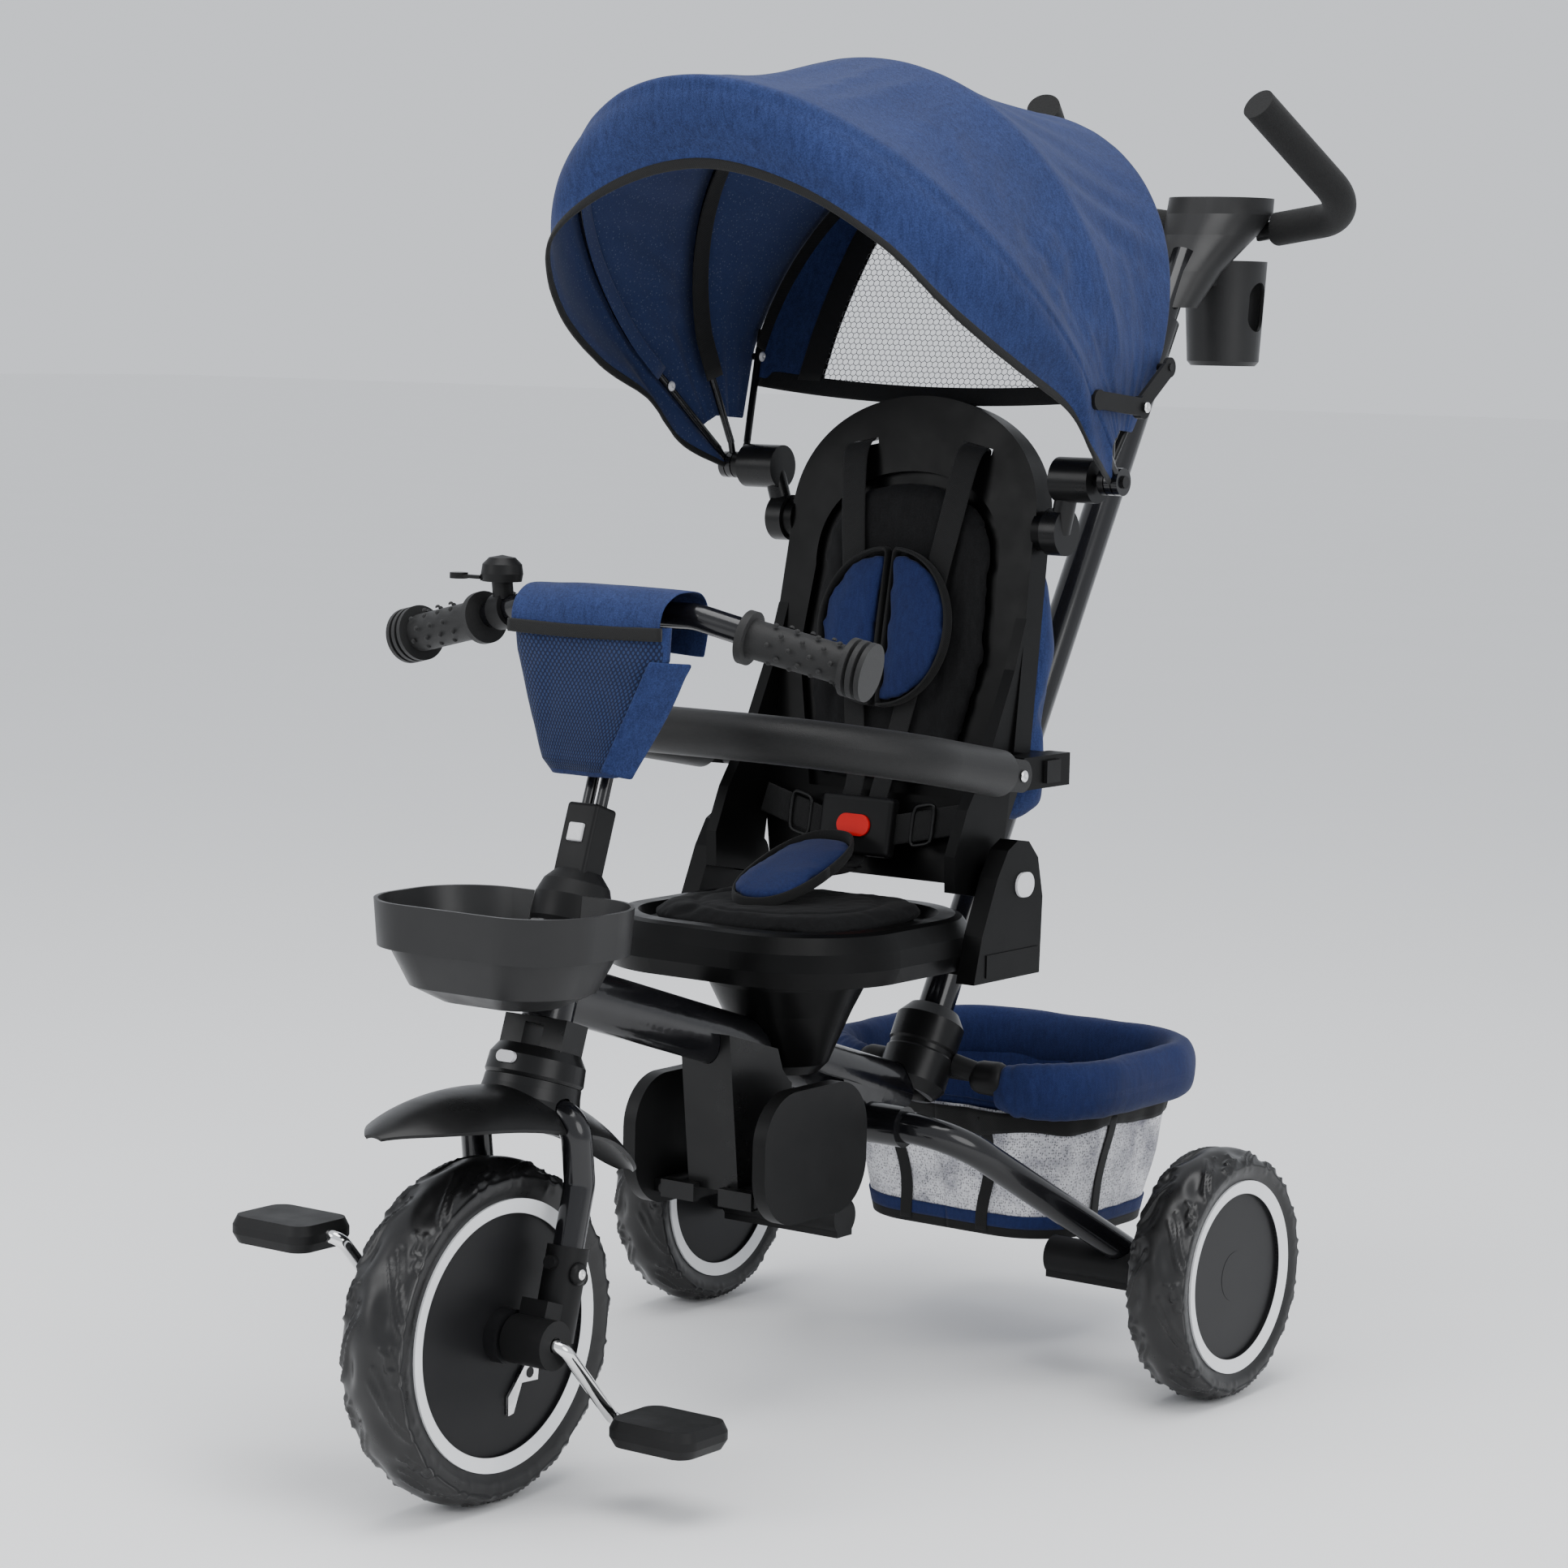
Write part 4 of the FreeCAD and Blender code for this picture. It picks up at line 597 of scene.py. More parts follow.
def band(name, path, across, outward, width, thick, material, body=None, square=0.5):
    """Tape or binding with rounded edges: across and outward are its frame, one vector or one per point."""
    count = len(path)
    acrosses = across if isinstance(across, list) else [Vector(across)] * count
    outwards = outward if isinstance(outward, list) else [Vector(outward)] * count
    rows = []
    for point, side, out in zip(path, acrosses, outwards):
        side = Vector(side).normalized() * (width / 2)
        out = Vector(out).normalized() * (thick / 2)
        rows.append([Vector(point) + side * bent(c, square) + out * bent(s, square) for c, s in circle(16)])
    return capped(sheet_mesh(name, rows, material, body, True))


def resampled(points, count):
    """Evenly spaced points along a path of (n, k) numbers."""
    points = np.asarray(points, float)
    steps = np.concatenate([[0], np.cumsum(np.linalg.norm(np.diff(points, axis=0), axis=1))])
    places = np.linspace(0, steps[-1], count)
    return np.stack([np.interp(places, steps, points[:, k]) for k in range(points.shape[1])], 1)


def grid_normals(grid):
    """Unit normals of a grid of points."""
    along = np.gradient(grid, axis=1)
    across = np.gradient(grid, axis=0)
    normal = np.cross(along, across)
    return normal / np.maximum(np.linalg.norm(normal, axis=2, keepdims=True), 1e-12)


def ripple(x, y, seed):
    """Smooth noise from about -1 to 1; each use has its own seed."""
    return noise.noise(Vector((x, y, seed)))


def area_of(made):
    return sum(face.area for face in made.data.polygons)


# ---------------------------------------------------------------- canopy

AXIS = Vector(JOINTS["canopy_front_fold"]["pos_m"])
WIRE = 0.0032          # radius of the bows' tube
FOOT = 0.042           # the cover starts this far out along the bows


def bow_shape(node, ahead, straight, root_in, half_in=0.0):
    """A bow's angle, reach, half width, straight side and half width at its foot, off its CAD box."""
    low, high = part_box(node)
    along = AXIS.y - low.y - WIRE if ahead else AXIS.y - high.y + WIRE
    rise = high.z - AXIS.z - WIRE
    reach = math.hypot(along, rise)
    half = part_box("canopy_mid_bow")[1].x - WIRE - half_in if half_in else high.x - WIRE
    return math.atan2(rise, along), reach, half, straight * reach, half - root_in


REAR = bow_shape("canopy_rear_bow", False, 0.3245, 0.015, 0.007)
MID = bow_shape("canopy_mid_bow", True, 0.3244, 0.0155)
FRONT = bow_shape("canopy_front_bow", True, 0.3318, 0.019)


def flat_arch(shape, grow, count, foot=FOOT):
    """A bow's line as (sideways, outward) places in its own plane, from the left foot to the right one."""
    reach, half, straight, root = shape[1:]
    places = [(root + grow + (half - root) * foot / straight, foot), (half + grow, straight)]
    for a in np.linspace(0, math.pi / 2, 60)[1:]:
        places.append(((half + grow) * math.cos(a), straight + (reach + grow - straight) * math.sin(a)))
    places += [(-x, out) for x, out in places[-2::-1]]
    return resampled(places, count)


def in_plane(turn, x, out, behind=0.0):
    """A place in the plane at that turn about the canopy axis, moved behind it."""
    return Vector((x, AXIS.y - out * math.cos(turn) + behind * math.sin(turn),
                   AXIS.z + out * math.sin(turn) + behind * math.cos(turn)))


def bow_line(shape, grow, count, foot=FOOT):
    """A bow's line in the row frame."""
    return np.array([tuple(in_plane(shape[0], x, out)) for x, out in flat_arch(shape, grow, count, foot)])


COLUMNS = 121
SKIN = 0.0052          # from the middle of a bow's tube to the cover
shares = np.linspace(1, -1, COLUMNS)

# The front edge from its left foot to its middle, from the canopy axis: (sideways, forward, up).
EDGE_SHARES = (1.0, 0.86, 0.72, 0.58, 0.44, 0.28, 0.14, 0.0)
EDGE_PLACES = ((0.187, -0.003, -0.003), (0.202, -0.054, 0.020), (0.205, -0.096, 0.057),
               (0.205, -0.163, 0.087), (0.189, -0.231, 0.127), (0.156, -0.285, 0.179),
               (0.085, -0.299, 0.219), (0.0, -0.303, 0.236))


def valance_edge():
    """The front edge of the canopy from its left foot to its right one."""
    whole = list(EDGE_PLACES) + [(-x, y, z) for x, y, z in EDGE_PLACES[-2::-1]]
    knots = list(EDGE_SHARES) + [-s for s in EDGE_SHARES[-2::-1]]
    at_share = np.interp(np.linspace(0, len(whole) - 1, 281), range(len(whole)), knots)
    fine = np.array([tuple(p) for p in curve_through(whole, 281)])
    edge = [[np.interp(-s, -at_share, fine[:, k]) for k in range(3)] for s in shares]
    return np.array(edge) + np.array([0, AXIS.y, AXIS.z])


edge_line = valance_edge()
rear_line, mid_line, front_line = (bow_line(shape, SKIN, COLUMNS) for shape in (REAR, MID, FRONT))
rows = []
marks = []
for first, second, number, steps in ((rear_line, mid_line, 0, 18), (mid_line, front_line, 1, 22),
                                     (front_line, edge_line, 2, 14)):
    for t in np.linspace(0, 1, steps + 1)[:steps + (number == 2)]:
        rows.append(first * (1 - t) + second * t)
        marks.append(number + t)
grid = np.array(rows)
normals = grid_normals(grid)
if normals[20, COLUMNS // 2, 2] < 0:
    normals = -normals
# Each panel hangs in between its bows: the rear two sag and fold, the front one stands out like a peak.
lift = np.zeros(grid.shape[:2])
for i, mark in enumerate(marks):
    panel = min(int(mark), 2)
    t = mark - panel
    middle = 4 * t * (1 - t)
    for j, share in enumerate(shares):
        height = 1 - abs(share)
        low_side = smooth(height, 0.02, 0.3)
        if panel == 0:
            fan = ripple(share * 16 + t * 1.5, t * 1.1, 7) * 0.0040 * middle * smooth(height, 0.1, 0.5)
            foot_pleat = ripple(share * 5, t * 7, 9) * 0.0022 * middle * (1 - smooth(height, 0.25, 0.6))
            lift[i, j] = -0.0060 * middle * low_side + fan + foot_pleat
        elif panel == 1:
            fold = 1 - abs(ripple(share * 11 - t * 1.3, t * 0.8, 3)) * 2.4
            lift[i, j] = (-0.0085 * middle + 0.0042 * max(fold, 0) ** 2 * middle) * low_side
            lift[i, j] += ripple(share * 5, t * 6, 12) * 0.0022 * middle * (1 - smooth(height, 0.25, 0.6))
        else:
            bulge = 0.0075 * math.sin(math.pi * min(t * 1.15, 1)) * smooth(height, 0.08, 0.35)
            groove = -0.0016 * math.exp(-((t - 0.16) / 0.035) ** 2)
            wave = ripple(share * 9, t * 1.5, 21) * 0.0016 * t
            lift[i, j] = bulge + groove + wave
        lift[i, j] += ripple(share * 40, mark * 9, 31) * 0.0004
grid = grid + normals * lift[:, :, None]
CANOPY_CLOTH = 0.0011
LINED = {"material_offset": 1, "material_offset_rim": 0}
cover = sheet_mesh("canopy_cover", grid, [NAVY, LINING])
rounded(thickened(cover, CANOPY_CLOTH, **LINED))
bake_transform(cover)
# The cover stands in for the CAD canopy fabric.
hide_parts("canopy_fabric")

edge_path = [Vector(p) for p in grid[-1]]
edge_in = [Vector(grid[-2, j] - grid[-1, j]) for j in range(COLUMNS)]
edge_out = [Vector(normals[-1, j]) for j in range(COLUMNS)]
binding = band("canopy_edge_binding", edge_path, edge_in, edge_out, 0.0085, 0.0032, BINDING, "canopy_front",
               0.7)


def bow_tape(name, shape, body, width, foot, cloth):
    """Tape that holds a bow against the inside of the cover."""
    line = bow_line(shape, -WIRE - 0.0012, 81, foot)
    across = Vector((0, math.sin(shape[0]), math.cos(shape[0])))
    out = [Vector(line[min(j + 1, 80)] - line[max(j - 1, 0)]).cross(across) for j in range(81)]
    made = band(name, [Vector(p) for p in line], across, out, width, 0.0014, cloth, body, 0.4)


bow_tape("canopy_mid_tape", MID, "canopy_mid", 0.022, 0.075, BINDING)
bow_tape("canopy_front_tape", FRONT, "canopy_front", 0.014, 0.11, LINING)
bow_tape("canopy_rear_tape", REAR, "seat_back", 0.022, 0.12, BINDING)

# The rear panel closes the rear bow; its window is an open hexagonal net with taped edges.
WINDOW_LOW = 0.088     # the window's lower edge, out from the canopy axis
BEHIND = 0.0048        # the panel lies this far behind the plane of the rear bow


def above(places, level):
    """The part of a bow's outline at or above a level, closed down to that level at both ends."""
    kept = [p for p in places if p[1] >= level]
    return np.array([(kept[0][0], level)] + kept + [(kept[-1][0], level)])


outer = resampled(above([tuple(p) for p in flat_arch(REAR, 0.0, 401)], WINDOW_LOW - 0.008), 81)
window_half = [(0.128, WINDOW_LOW - 0.008), (0.126, 0.13), (0.119, 0.18), (0.106, 0.228), (0.078, 0.264),
               (0.040, 0.281), (0.0, 0.286)]
window_knots = window_half + [(-x, out) for x, out in window_half[-2::-1]]
window = resampled([tuple(p)[:2] for p in curve_through([(x, out, 0) for x, out in window_knots], 200)], 81)
rows = []
for step in range(14):
    t = step / 13
    row = []
    for j in range(81):
        x = outer[j, 0] * (1 - t) + window[j, 0] * t
        out = outer[j, 1] * (1 - t) + window[j, 1] * t
        edge = math.exp(-t * 9)
        away = BEHIND * (1 - edge) + ripple(j * 0.35, t * 3, 41) * 0.0012 * math.sin(math.pi * t)
        push = 1 + 0.015 * edge
        row.append(in_plane(REAR[0], x * push, out * push, away))
    rows.append(row)
panel = sheet_mesh("canopy_rear_panel", rows, [NAVY, LINING], "seat_back")
rounded(thickened(panel, CANOPY_CLOTH, **LINED))

plane_out = in_plane(REAR[0], 0, 0, 1) - in_plane(REAR[0], 0, 0, 0)
for name, away, width in (("canopy_window_tape_inside", BEHIND - 0.0016, 0.024),
                          ("canopy_window_tape", BEHIND + 0.0014, 0.009)):
    path = []
    across = []
    for j in range(81):
        before = window[max(j - 1, 0)]
        after = window[min(j + 1, 80)]
        way = Vector((after[0] - before[0], after[1] - before[1]))
        side = Vector((-way.y, way.x)).normalized()
        if side.dot(Vector((window[j][0], window[j][1] - 0.12))) < 0:
            side = -side
        shift = side * (width / 2 - 0.003)
        path.append(in_plane(REAR[0], window[j][0] + shift.x, window[j][1] + shift.y, away))
        across.append(in_plane(REAR[0], side.x, side.y) - in_plane(REAR[0], 0, 0))
    band(name, path, across, plane_out, width, 0.0013, BINDING, "seat_back", 0.4)
low_path = [in_plane(REAR[0], x, WINDOW_LOW - 0.006 - 0.012 * (1 - (x / 0.19) ** 2), BEHIND)
            for x in np.linspace(0.19, -0.19, 41)]
low_across = in_plane(REAR[0], 0, 1) - in_plane(REAR[0], 0, 0)
band("canopy_low_tape", low_path, low_across, plane_out, 0.016, 0.0030, BINDING, "seat_back", 0.5)


def inside_window(x, out):
    """Whether a place lies within the window, the sagging lower edge included."""
    if out < WINDOW_LOW - 0.012 * (1 - (x / 0.19) ** 2) - 0.004:
        return False
    half = np.interp(out, [p[1] for p in window_half], [p[0] for p in window_half], right=-1)
    return abs(x) <= half + 0.002


def net_piece():
    """A net of hexagons, each yarn a slim three-sided thread that dips in a little near the middle."""
    pitch = 0.0056
    thread = 0.00034
    lowest = 0.05
    side = pitch / math.sqrt(3)
    points = {}
    links = set()

    def key(x, y):
        return round(x * 1e5), round(y * 1e5)

    for row in range(-2, 48):
        for column in range(-26, 27):
            cx = pitch * (column + (row % 2) / 2)
            cy = lowest + row * side * 1.5
            ring = [(cx + side * math.sin(a), cy + side * math.cos(a)) for a in np.arange(6) * math.pi / 3]
            for k in range(6):
                first, second = ring[k], ring[(k + 1) % 6]
                if inside_window(*first) and inside_window(*second):
                    ends = sorted((key(*first), key(*second)))
                    links.add(tuple(ends))
                    points[key(*first)] = first
                    points[key(*second)] = second
    vertices = []
    faces = []
    for first, second in sorted(links):
        a, b = Vector(points[first]), Vector(points[second])
        way = (b - a).normalized()
        cross = Vector((-way.y, way.x)) * thread
        start = len(vertices)
        for end in (a - way * thread * 0.6, b + way * thread * 0.6):
            for shift, away in ((cross, -0.5), (cross * -1, -0.5), (cross * 0, 1)):
                place = end + shift
                dip = 0.003 * math.exp(-((place.x / 0.1) ** 2)) * math.sin((place.y - 0.07) * 14)
                vertices.append(in_plane(REAR[0], place.x, place.y, BEHIND + thread * away + dip))
        for k in range(3):
            m = (k + 1) % 3
            faces.append((start + k, start + m, start + 3 + m, start + 3 + k))
    return piece("canopy_window_net", vertices, faces, NET, "seat_back")


net = net_piece()

hub_joint = Vector(JOINTS["stay_front_turn"]["pos_m"])
for side, name in SIDES:
    out = LEFT * side
    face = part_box("stay_rear_links")[1].x * side
    screw("stay_hub_rivet_" + name, Vector((face, hub_joint.y, hub_joint.z)), out, 0.0042, ZINC,
          "stay_rear", 0.0016)
    for place, shape, body in ((0.095, FRONT, "canopy_front"), (0.099, REAR, "seat_back")):
        inner = shape[4] + (shape[2] - shape[4]) * place / shape[3] - 0.0042
        screw("canopy_snap_%s_%s" % (body, name), in_plane(shape[0], inner * side, place), -out, 0.0042,
              GREY_BUTTON, body, 0.002)

# ---------------------------------------------------------------- padded pieces


def loose_copy(name, node, shrink, material):
    """A new piece from a CAD solid's shape, drawn in about its middle."""
    mesh = frame["nodes"][node].data.copy()
    mesh.materials.clear()
    mesh.materials.append(material)
    low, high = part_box(node)
    middle = (low + high) / 2
    mesh.transform(Matrix.Translation(middle) @ Matrix.Diagonal((*shrink, 1)) @ Matrix.Translation(-middle))
    return linked(name, mesh)


def coordinates(mesh):
    """The mesh's vertices as an array."""
    found = np.zeros(len(mesh.vertices) * 3, np.float32)
    mesh.vertices.foreach_get("co", found)
    return found.reshape(-1, 3).astype(float)


PRESSURE = 4.0
FRAMES = 20


def plumped(made, voxel, cap, face, shaped):
    """Swells a closed pad as cloth under pressure and shapes it.

    No point moves further than the cap, or behind the plane given by face, a point and its outward way.
    """
    modifier(made, "REMESH", mode="VOXEL", voxel_size=voxel)
    applied(made)
    start = coordinates(made.data)
    moved = start.copy()
    cloth = modifier(made, "CLOTH")
    cloth.settings.use_pressure = True
    cloth.settings.uniform_pressure_force = PRESSURE
    cloth.settings.effector_weights.gravity = 0
    cloth.settings.quality = 4
    for step in range(1, FRAMES + 1):
        bpy.context.scene.frame_set(step)
    graph = bpy.context.evaluated_depsgraph_get()
    moved = coordinates(made.evaluated_get(graph).data)
    made.modifiers.clear()
    bpy.context.scene.frame_set(1)
    shift = moved - start
    length = np.linalg.norm(shift, axis=1, keepdims=True)
    moved = start + shift * np.minimum(1, cap / np.maximum(length, 1e-9))
    point, way = (np.array(tuple(v)) for v in face)
    depth = np.minimum((moved - point) @ way, 0)
    moved -= depth[:, None] * way
    made.data.vertices.foreach_set("co", moved.astype(np.float32).ravel())
    modifier(made, "SMOOTH", factor=0.5, iterations=3)
    rounded(made)
    for vertex in made.data.vertices:
        vertex.co += vertex.normal * shaped(vertex.co)
    made.data.polygons.foreach_set("use_smooth", [True] * len(made.data.polygons))
    return made


def settled(made, body, nodes):
    """The piece rides on its body and stands for its CAD nodes."""
    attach(made, body)
    if nodes:
        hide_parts(*nodes.split())
    return made


# The leaning backrest's own directions: sideways, behind its face and up it.
BACK_IN = Vector(JOINTS["buckle_button_press"]["axis"])
BACK_UP = Vector((0, -BACK_IN.z, BACK_IN.y))
BACK_AT = Vector(JOINTS["backrest_recline"]["pos_m"])


def on_back(x, deep, up):
    """A place measured from the recline axis in the backrest's own directions."""
    return BACK_AT + LEFT * x + BACK_IN * deep + BACK_UP * up


low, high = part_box("seat_pad")
seat_middle = (low + high) / 2


def seat_folds(place):
    """A round seam and soft dents, as heights off the seat cushion's face."""
    across = place.x / 0.1
    along = (place.y - seat_middle.y) / 0.1
    radius = math.hypot(across, along)
    seam = -0.0016 * math.exp(-((radius - 0.72) / 0.035) ** 2)
    return (seam + 0.0009 * ripple(place.x * 38, place.y * 24, 51)
            + 0.0005 * ripple(place.x * 120, place.y * 90, 52))


seat = plumped(loose_copy("seat_cushion", "seat_pad", (0.965, 0.965, 0.9), BLACK_CLOTH), 0.004, 0.005,
               ((0, 0, low.z), (0, 0, 1)), seat_folds)
settled(seat, "frame", "seat_pad")


def back_folds(place):
    """The sewn channels down both sides of the back cushion, and soft dents."""
    x = place.x
    up = (place - BACK_AT).dot(BACK_UP)
    channel = -0.0022 * math.exp(-((abs(x) - 0.047 - 0.05 * abs(up - 0.2)) / 0.0045) ** 2)
    soft = 0.0026 * ripple(x * 17, up * 11, 61) * smooth(abs(x), 0.02, 0.08)
    return channel + soft + 0.0006 * ripple(x * 110, up * 90, 62)


pad_face = on_back(0, 0.0063, 0)
back_cushion = plumped(loose_copy("back_cushion", "back_pad", (0.965, 0.92, 0.98), BLACK_CLOTH), 0.0045,
                       0.006, (pad_face, -BACK_IN), back_folds)
settled(back_cushion, "seat_back", "back_pad")

bag = plumped(loose_copy("back_pocket", "back_bag", (0.93, 0.9, 0.96), NAVY), 0.0055, 0.007,
              (on_back(0, 0.0262, 0), BACK_IN),
              lambda p: 0.0022 * ripple(p.x * 18, p.z * 14, 71) - 0.0015 * math.exp(-((p.x / 0.0035) ** 2)))
settled(bag, "seat_back", "back_bag")
RIM_UP = 0.256
rim_half = [(0.084, 0.029), (0.086, 0.05), (0.07, 0.0665), (0.035, 0.07), (0, 0.071)]
rim = curve_through([on_back(x, deep, RIM_UP) for x, deep in
                     rim_half + [(-x, deep) for x, deep in rim_half[-2::-1]]], 61)
rim_out = [(p - on_back(0, 0.045, RIM_UP)).normalized() for p in rim]
settled(band("back_pocket_binding", rim, BACK_UP, rim_out, 0.011, 0.0024, BINDING), "seat_back", "")

# Shoulder pads: two halves of an oval with black binding, on the straps.


GAP = 0.004            # from the middle of the backrest to a pad's straight side
OVAL_WIDE = 0.0575
OVAL_TALL = 0.0635
OVAL_UP = 0.194
OVAL_DEEP = -0.0205


def half_oval(side):
    """The outline of one shoulder pad, round its curved side and back along its straight one."""
    inner = GAP - 0.0005
    places = [(max(GAP + OVAL_WIDE * math.cos(a), inner), OVAL_TALL * math.sin(a))
              for a in np.linspace(-math.pi / 2, math.pi / 2, 40)]
    straight = [(inner, up) for up in np.linspace(OVAL_TALL, -OVAL_TALL, 20)[1:-1]]
    loop = resampled(places + straight + [places[0]], 65)[:-1]
    return [on_back(side * x, OVAL_DEEP, OVAL_UP + up) for x, up in loop]


pads = plumped(loose_copy("shoulder_cushions", "shoulder_pads", (0.985, 0.86, 0.96), JERSEY), 0.004, 0.004,
               (on_back(0, -0.0162, 0), -BACK_IN), lambda p: 0.0006 * ripple(p.x * 45, p.z * 30, 81))
settled(pads, "seat_back", "shoulder_pads")
for side, name in SIDES:
    loop = half_oval(side)
    middle = on_back(side * 0.03, OVAL_DEEP, OVAL_UP)
    outward = [(p - middle).normalized() for p in loop]
    loop.append(loop[0])
    outward.append(outward[0])
    trim = band("shoulder_binding_" + name, loop, -BACK_IN, outward, 0.0105, 0.0032, BINDING)
    settled(trim, "seat_back", "")

# Harness straps, from the slots in the backrest down to the buckle and out to the hips.


def webbing_run(name, places, widths, facing, body="seat_back", twist=0.0):
    """A run of webbing through places in the row frame, with a width at each place."""
    count = 40
    path = curve_through(places, count)
    widths = np.interp(np.linspace(0, 1, count), np.linspace(0, 1, len(places)), widths)
    rows = []
    for k, point in enumerate(path):
        way = path[min(k + 1, count - 1)] - path[max(k - 1, 0)]
        across = way.cross(facing).normalized()
        out = across.cross(way).normalized()
        lean = twist * ripple(k * 0.13, 0.3, 91)
        across = (across + out * lean).normalized()
        out = way.cross(across).normalized()
        rows.append([point + across * (widths[k] / 2 * bent(c, 0.6)) + out * (0.00075 * bent(s, 0.35))
                     for c, s in circle(18)])
    return sheet_mesh(name, rows, WEBBING, body, True)


# Each place is (sideways, behind the face, up the back), and the last number is the width there.
SHOULDER_RUN = ((0.057, 0.012, 0.347, 0.025), (0.0565, 0.002, 0.3465, 0.025), (0.056, -0.006, 0.343, 0.025),
                (0.054, -0.0115, 0.328, 0.024), (0.048, -0.0135, 0.285, 0.023),
                (0.040, -0.0138, 0.235, 0.022), (0.031, -0.0138, 0.17, 0.02),
                (0.022, -0.0138, 0.115, 0.019), (0.014, -0.0145, 0.075, 0.018),
                (0.013, -0.0195, 0.052, 0.018))
HIP_RUN = ((0.031, -0.0205, 0.031, 0.024), (0.045, -0.0195, 0.034, 0.024), (0.066, -0.0175, 0.039, 0.024),
           (0.088, -0.015, 0.0445, 0.024), (0.104, -0.011, 0.048, 0.024))
for side, name in SIDES:
    for kind, run, twist in (("shoulder", SHOULDER_RUN, 0.05), ("hip", HIP_RUN, 0.12)):
        webbing_run("%s_strap_%s" % (kind, name), [on_back(side * x, deep, up)
                                                               for x, deep, up, width in run],
                                  [place[3] for place in run], -BACK_IN, twist=twist)
    for kind, centre, tall, wide, lean in (("hip", (0.060, -0.0185, 0.0375), 0.032, 0.020, 0.22),
                                           ("shoulder", (0.019, -0.0152, 0.096), 0.012, 0.030, 0.0)):
        loop = []
        for c, s in circle(32):
            x = wide / 2 * bent(c, 0.4)
            up = tall / 2 * bent(s, 0.4) + lean * x
            loop.append(on_back(side * (centre[0] + x), centre[1] - 0.0012, centre[2] + up))
        slider = tube("%s_slider_%s" % (kind, name), loop, 0.0016, SATIN, None, 10, True)
        settled(slider, "seat_back", "")
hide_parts("harness_straps")

# Crotch pad on the seat, with its binding and the strap up to the buckle.
low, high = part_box("crotch_pad")
leaf_middle = (low + high) / 2
leaf = plumped(loose_copy("crotch_cushion", "crotch_pad", (0.95, 0.95, 0.8), JERSEY), 0.004, 0.004,
               ((0, 0, low.z), (0, 0, 1)), lambda p: 0.0005 * ripple(p.x * 60, p.y * 40, 101))
settled(leaf, "frame", "crotch_pad")
tilt = math.radians(20)
loop = []
outward = []
for c, s in circle(64) + circle(64)[:1]:
    x = 0.0345 * bent(c, 0.8)
    y = 0.0625 * bent(s, 0.9)
    loop.append(leaf_middle + Vector((x, y * math.cos(tilt), y * math.sin(tilt))))
    outward.append(Vector((c, s, 0)))
settled(band("crotch_binding", loop, UP, outward, 0.009, 0.0028, BINDING), "frame", "")
crotch_run = [on_back(0, -0.0225, 0.012), on_back(0, -0.024, 0.004), Vector((-0.003, -0.004, 0.4245)),
              Vector((-0.005, -0.022, 0.4205)), Vector((-0.007, -0.045, 0.4195))]
crotch_strap = webbing_run("crotch_strap", crotch_run, [0.022] * 5, Vector((0, -0.6, 0.8)), None)
settled(crotch_strap, "frame", "")

# ---------------------------------------------------------------- handlebar bag

low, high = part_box("handlebar_bag")
# The pouch at four levels from its foot up: half width, its middle sideways, front and back.
BAG_LEVELS = (low.z, low.z + 0.010, high.z - 0.046, high.z - 0.022)
BAG_HALF = (0.0300, 0.0355, 0.0694, 0.0720)
BAG_MIDDLE = (0.0030, 0.0020, 0.0088, 0.0065)
BAG_FRONT = (-0.3620, -0.3685, -0.3670, -0.3640)
BAG_BACK = (-0.3540, -0.3495, -0.3490, -0.3490)
rows = []
for z in np.linspace(BAG_LEVELS[0], BAG_LEVELS[-1], 34):
    half, middle, front, back = (np.interp(z, BAG_LEVELS, values)
                                 for values in (BAG_HALF, BAG_MIDDLE, BAG_FRONT, BAG_BACK))
    row = []
    for c, s in circle(96):
        x = middle + half * bent(c, 0.42)
        deep = (front + back) / 2 - (back - front) / 2 * bent(s, 0.75)
        slack = 0.0022 * ripple(x * 26, z * 22, 111) + 0.0012 * ripple(x * 70, z * 60, 112)
        row.append(Vector((x, deep - slack * (1 if s > 0 else 0.3) - 0.002 * smooth(s, 0.2, 1), z)))
    rows.append(row)
centre = sum(rows[0], Vector()) / 96
rows = [[centre + (p - centre) * share for p in rows[0]] for share in (0.02, 0.35, 0.7)] + rows
pouch = sheet_mesh("handlebar_pouch", rows, [HEX_MESH, NAVY], None, True)
for face in pouch.data.polygons:
    forward = face.normal.y < -0.45 or (face.center.y < -0.362 and face.center.z > low.z + 0.002)
    face.material_index = 0 if forward else 1
thickened(pouch, 0.0009)
settled(pouch, "handlebar", "handlebar_bag")

# The flap's line over the handlebar, front to back: (forward, up from the pouch's top).
FLAP = ((-0.3675, -0.0245), (-0.3675, -0.0150), (-0.3625, -0.0045), (-0.3500, 0.0030), (-0.3350, 0.0040),
        (-0.3210, 0.0015), (-0.3120, -0.0090), (-0.3105, -0.026), (-0.3140, -0.045))
FLAP_MIDDLE = 0.0085
flap_line = curve_through([(0, y, high.z + up) for y, up in FLAP], 44)
rows = []
for k, place in enumerate(flap_line):
    t = k / 43
    half = 0.0695 + 0.0015 * math.sin(math.pi * t)
    row = []
    for x in np.linspace(-half, half, 61):
        slack = 0.0016 * ripple(x * 24, t * 3, 121) + 0.0012 * math.cos(x / half * math.pi / 2)
        hang = 0.002 * (x / half) ** 2 * (1 - t)
        row.append(Vector((FLAP_MIDDLE + x, place.y - slack * (1 if t < 0.6 else -0.6),
                           place.z + slack * 0.6 - hang)))
    rows.append(row)
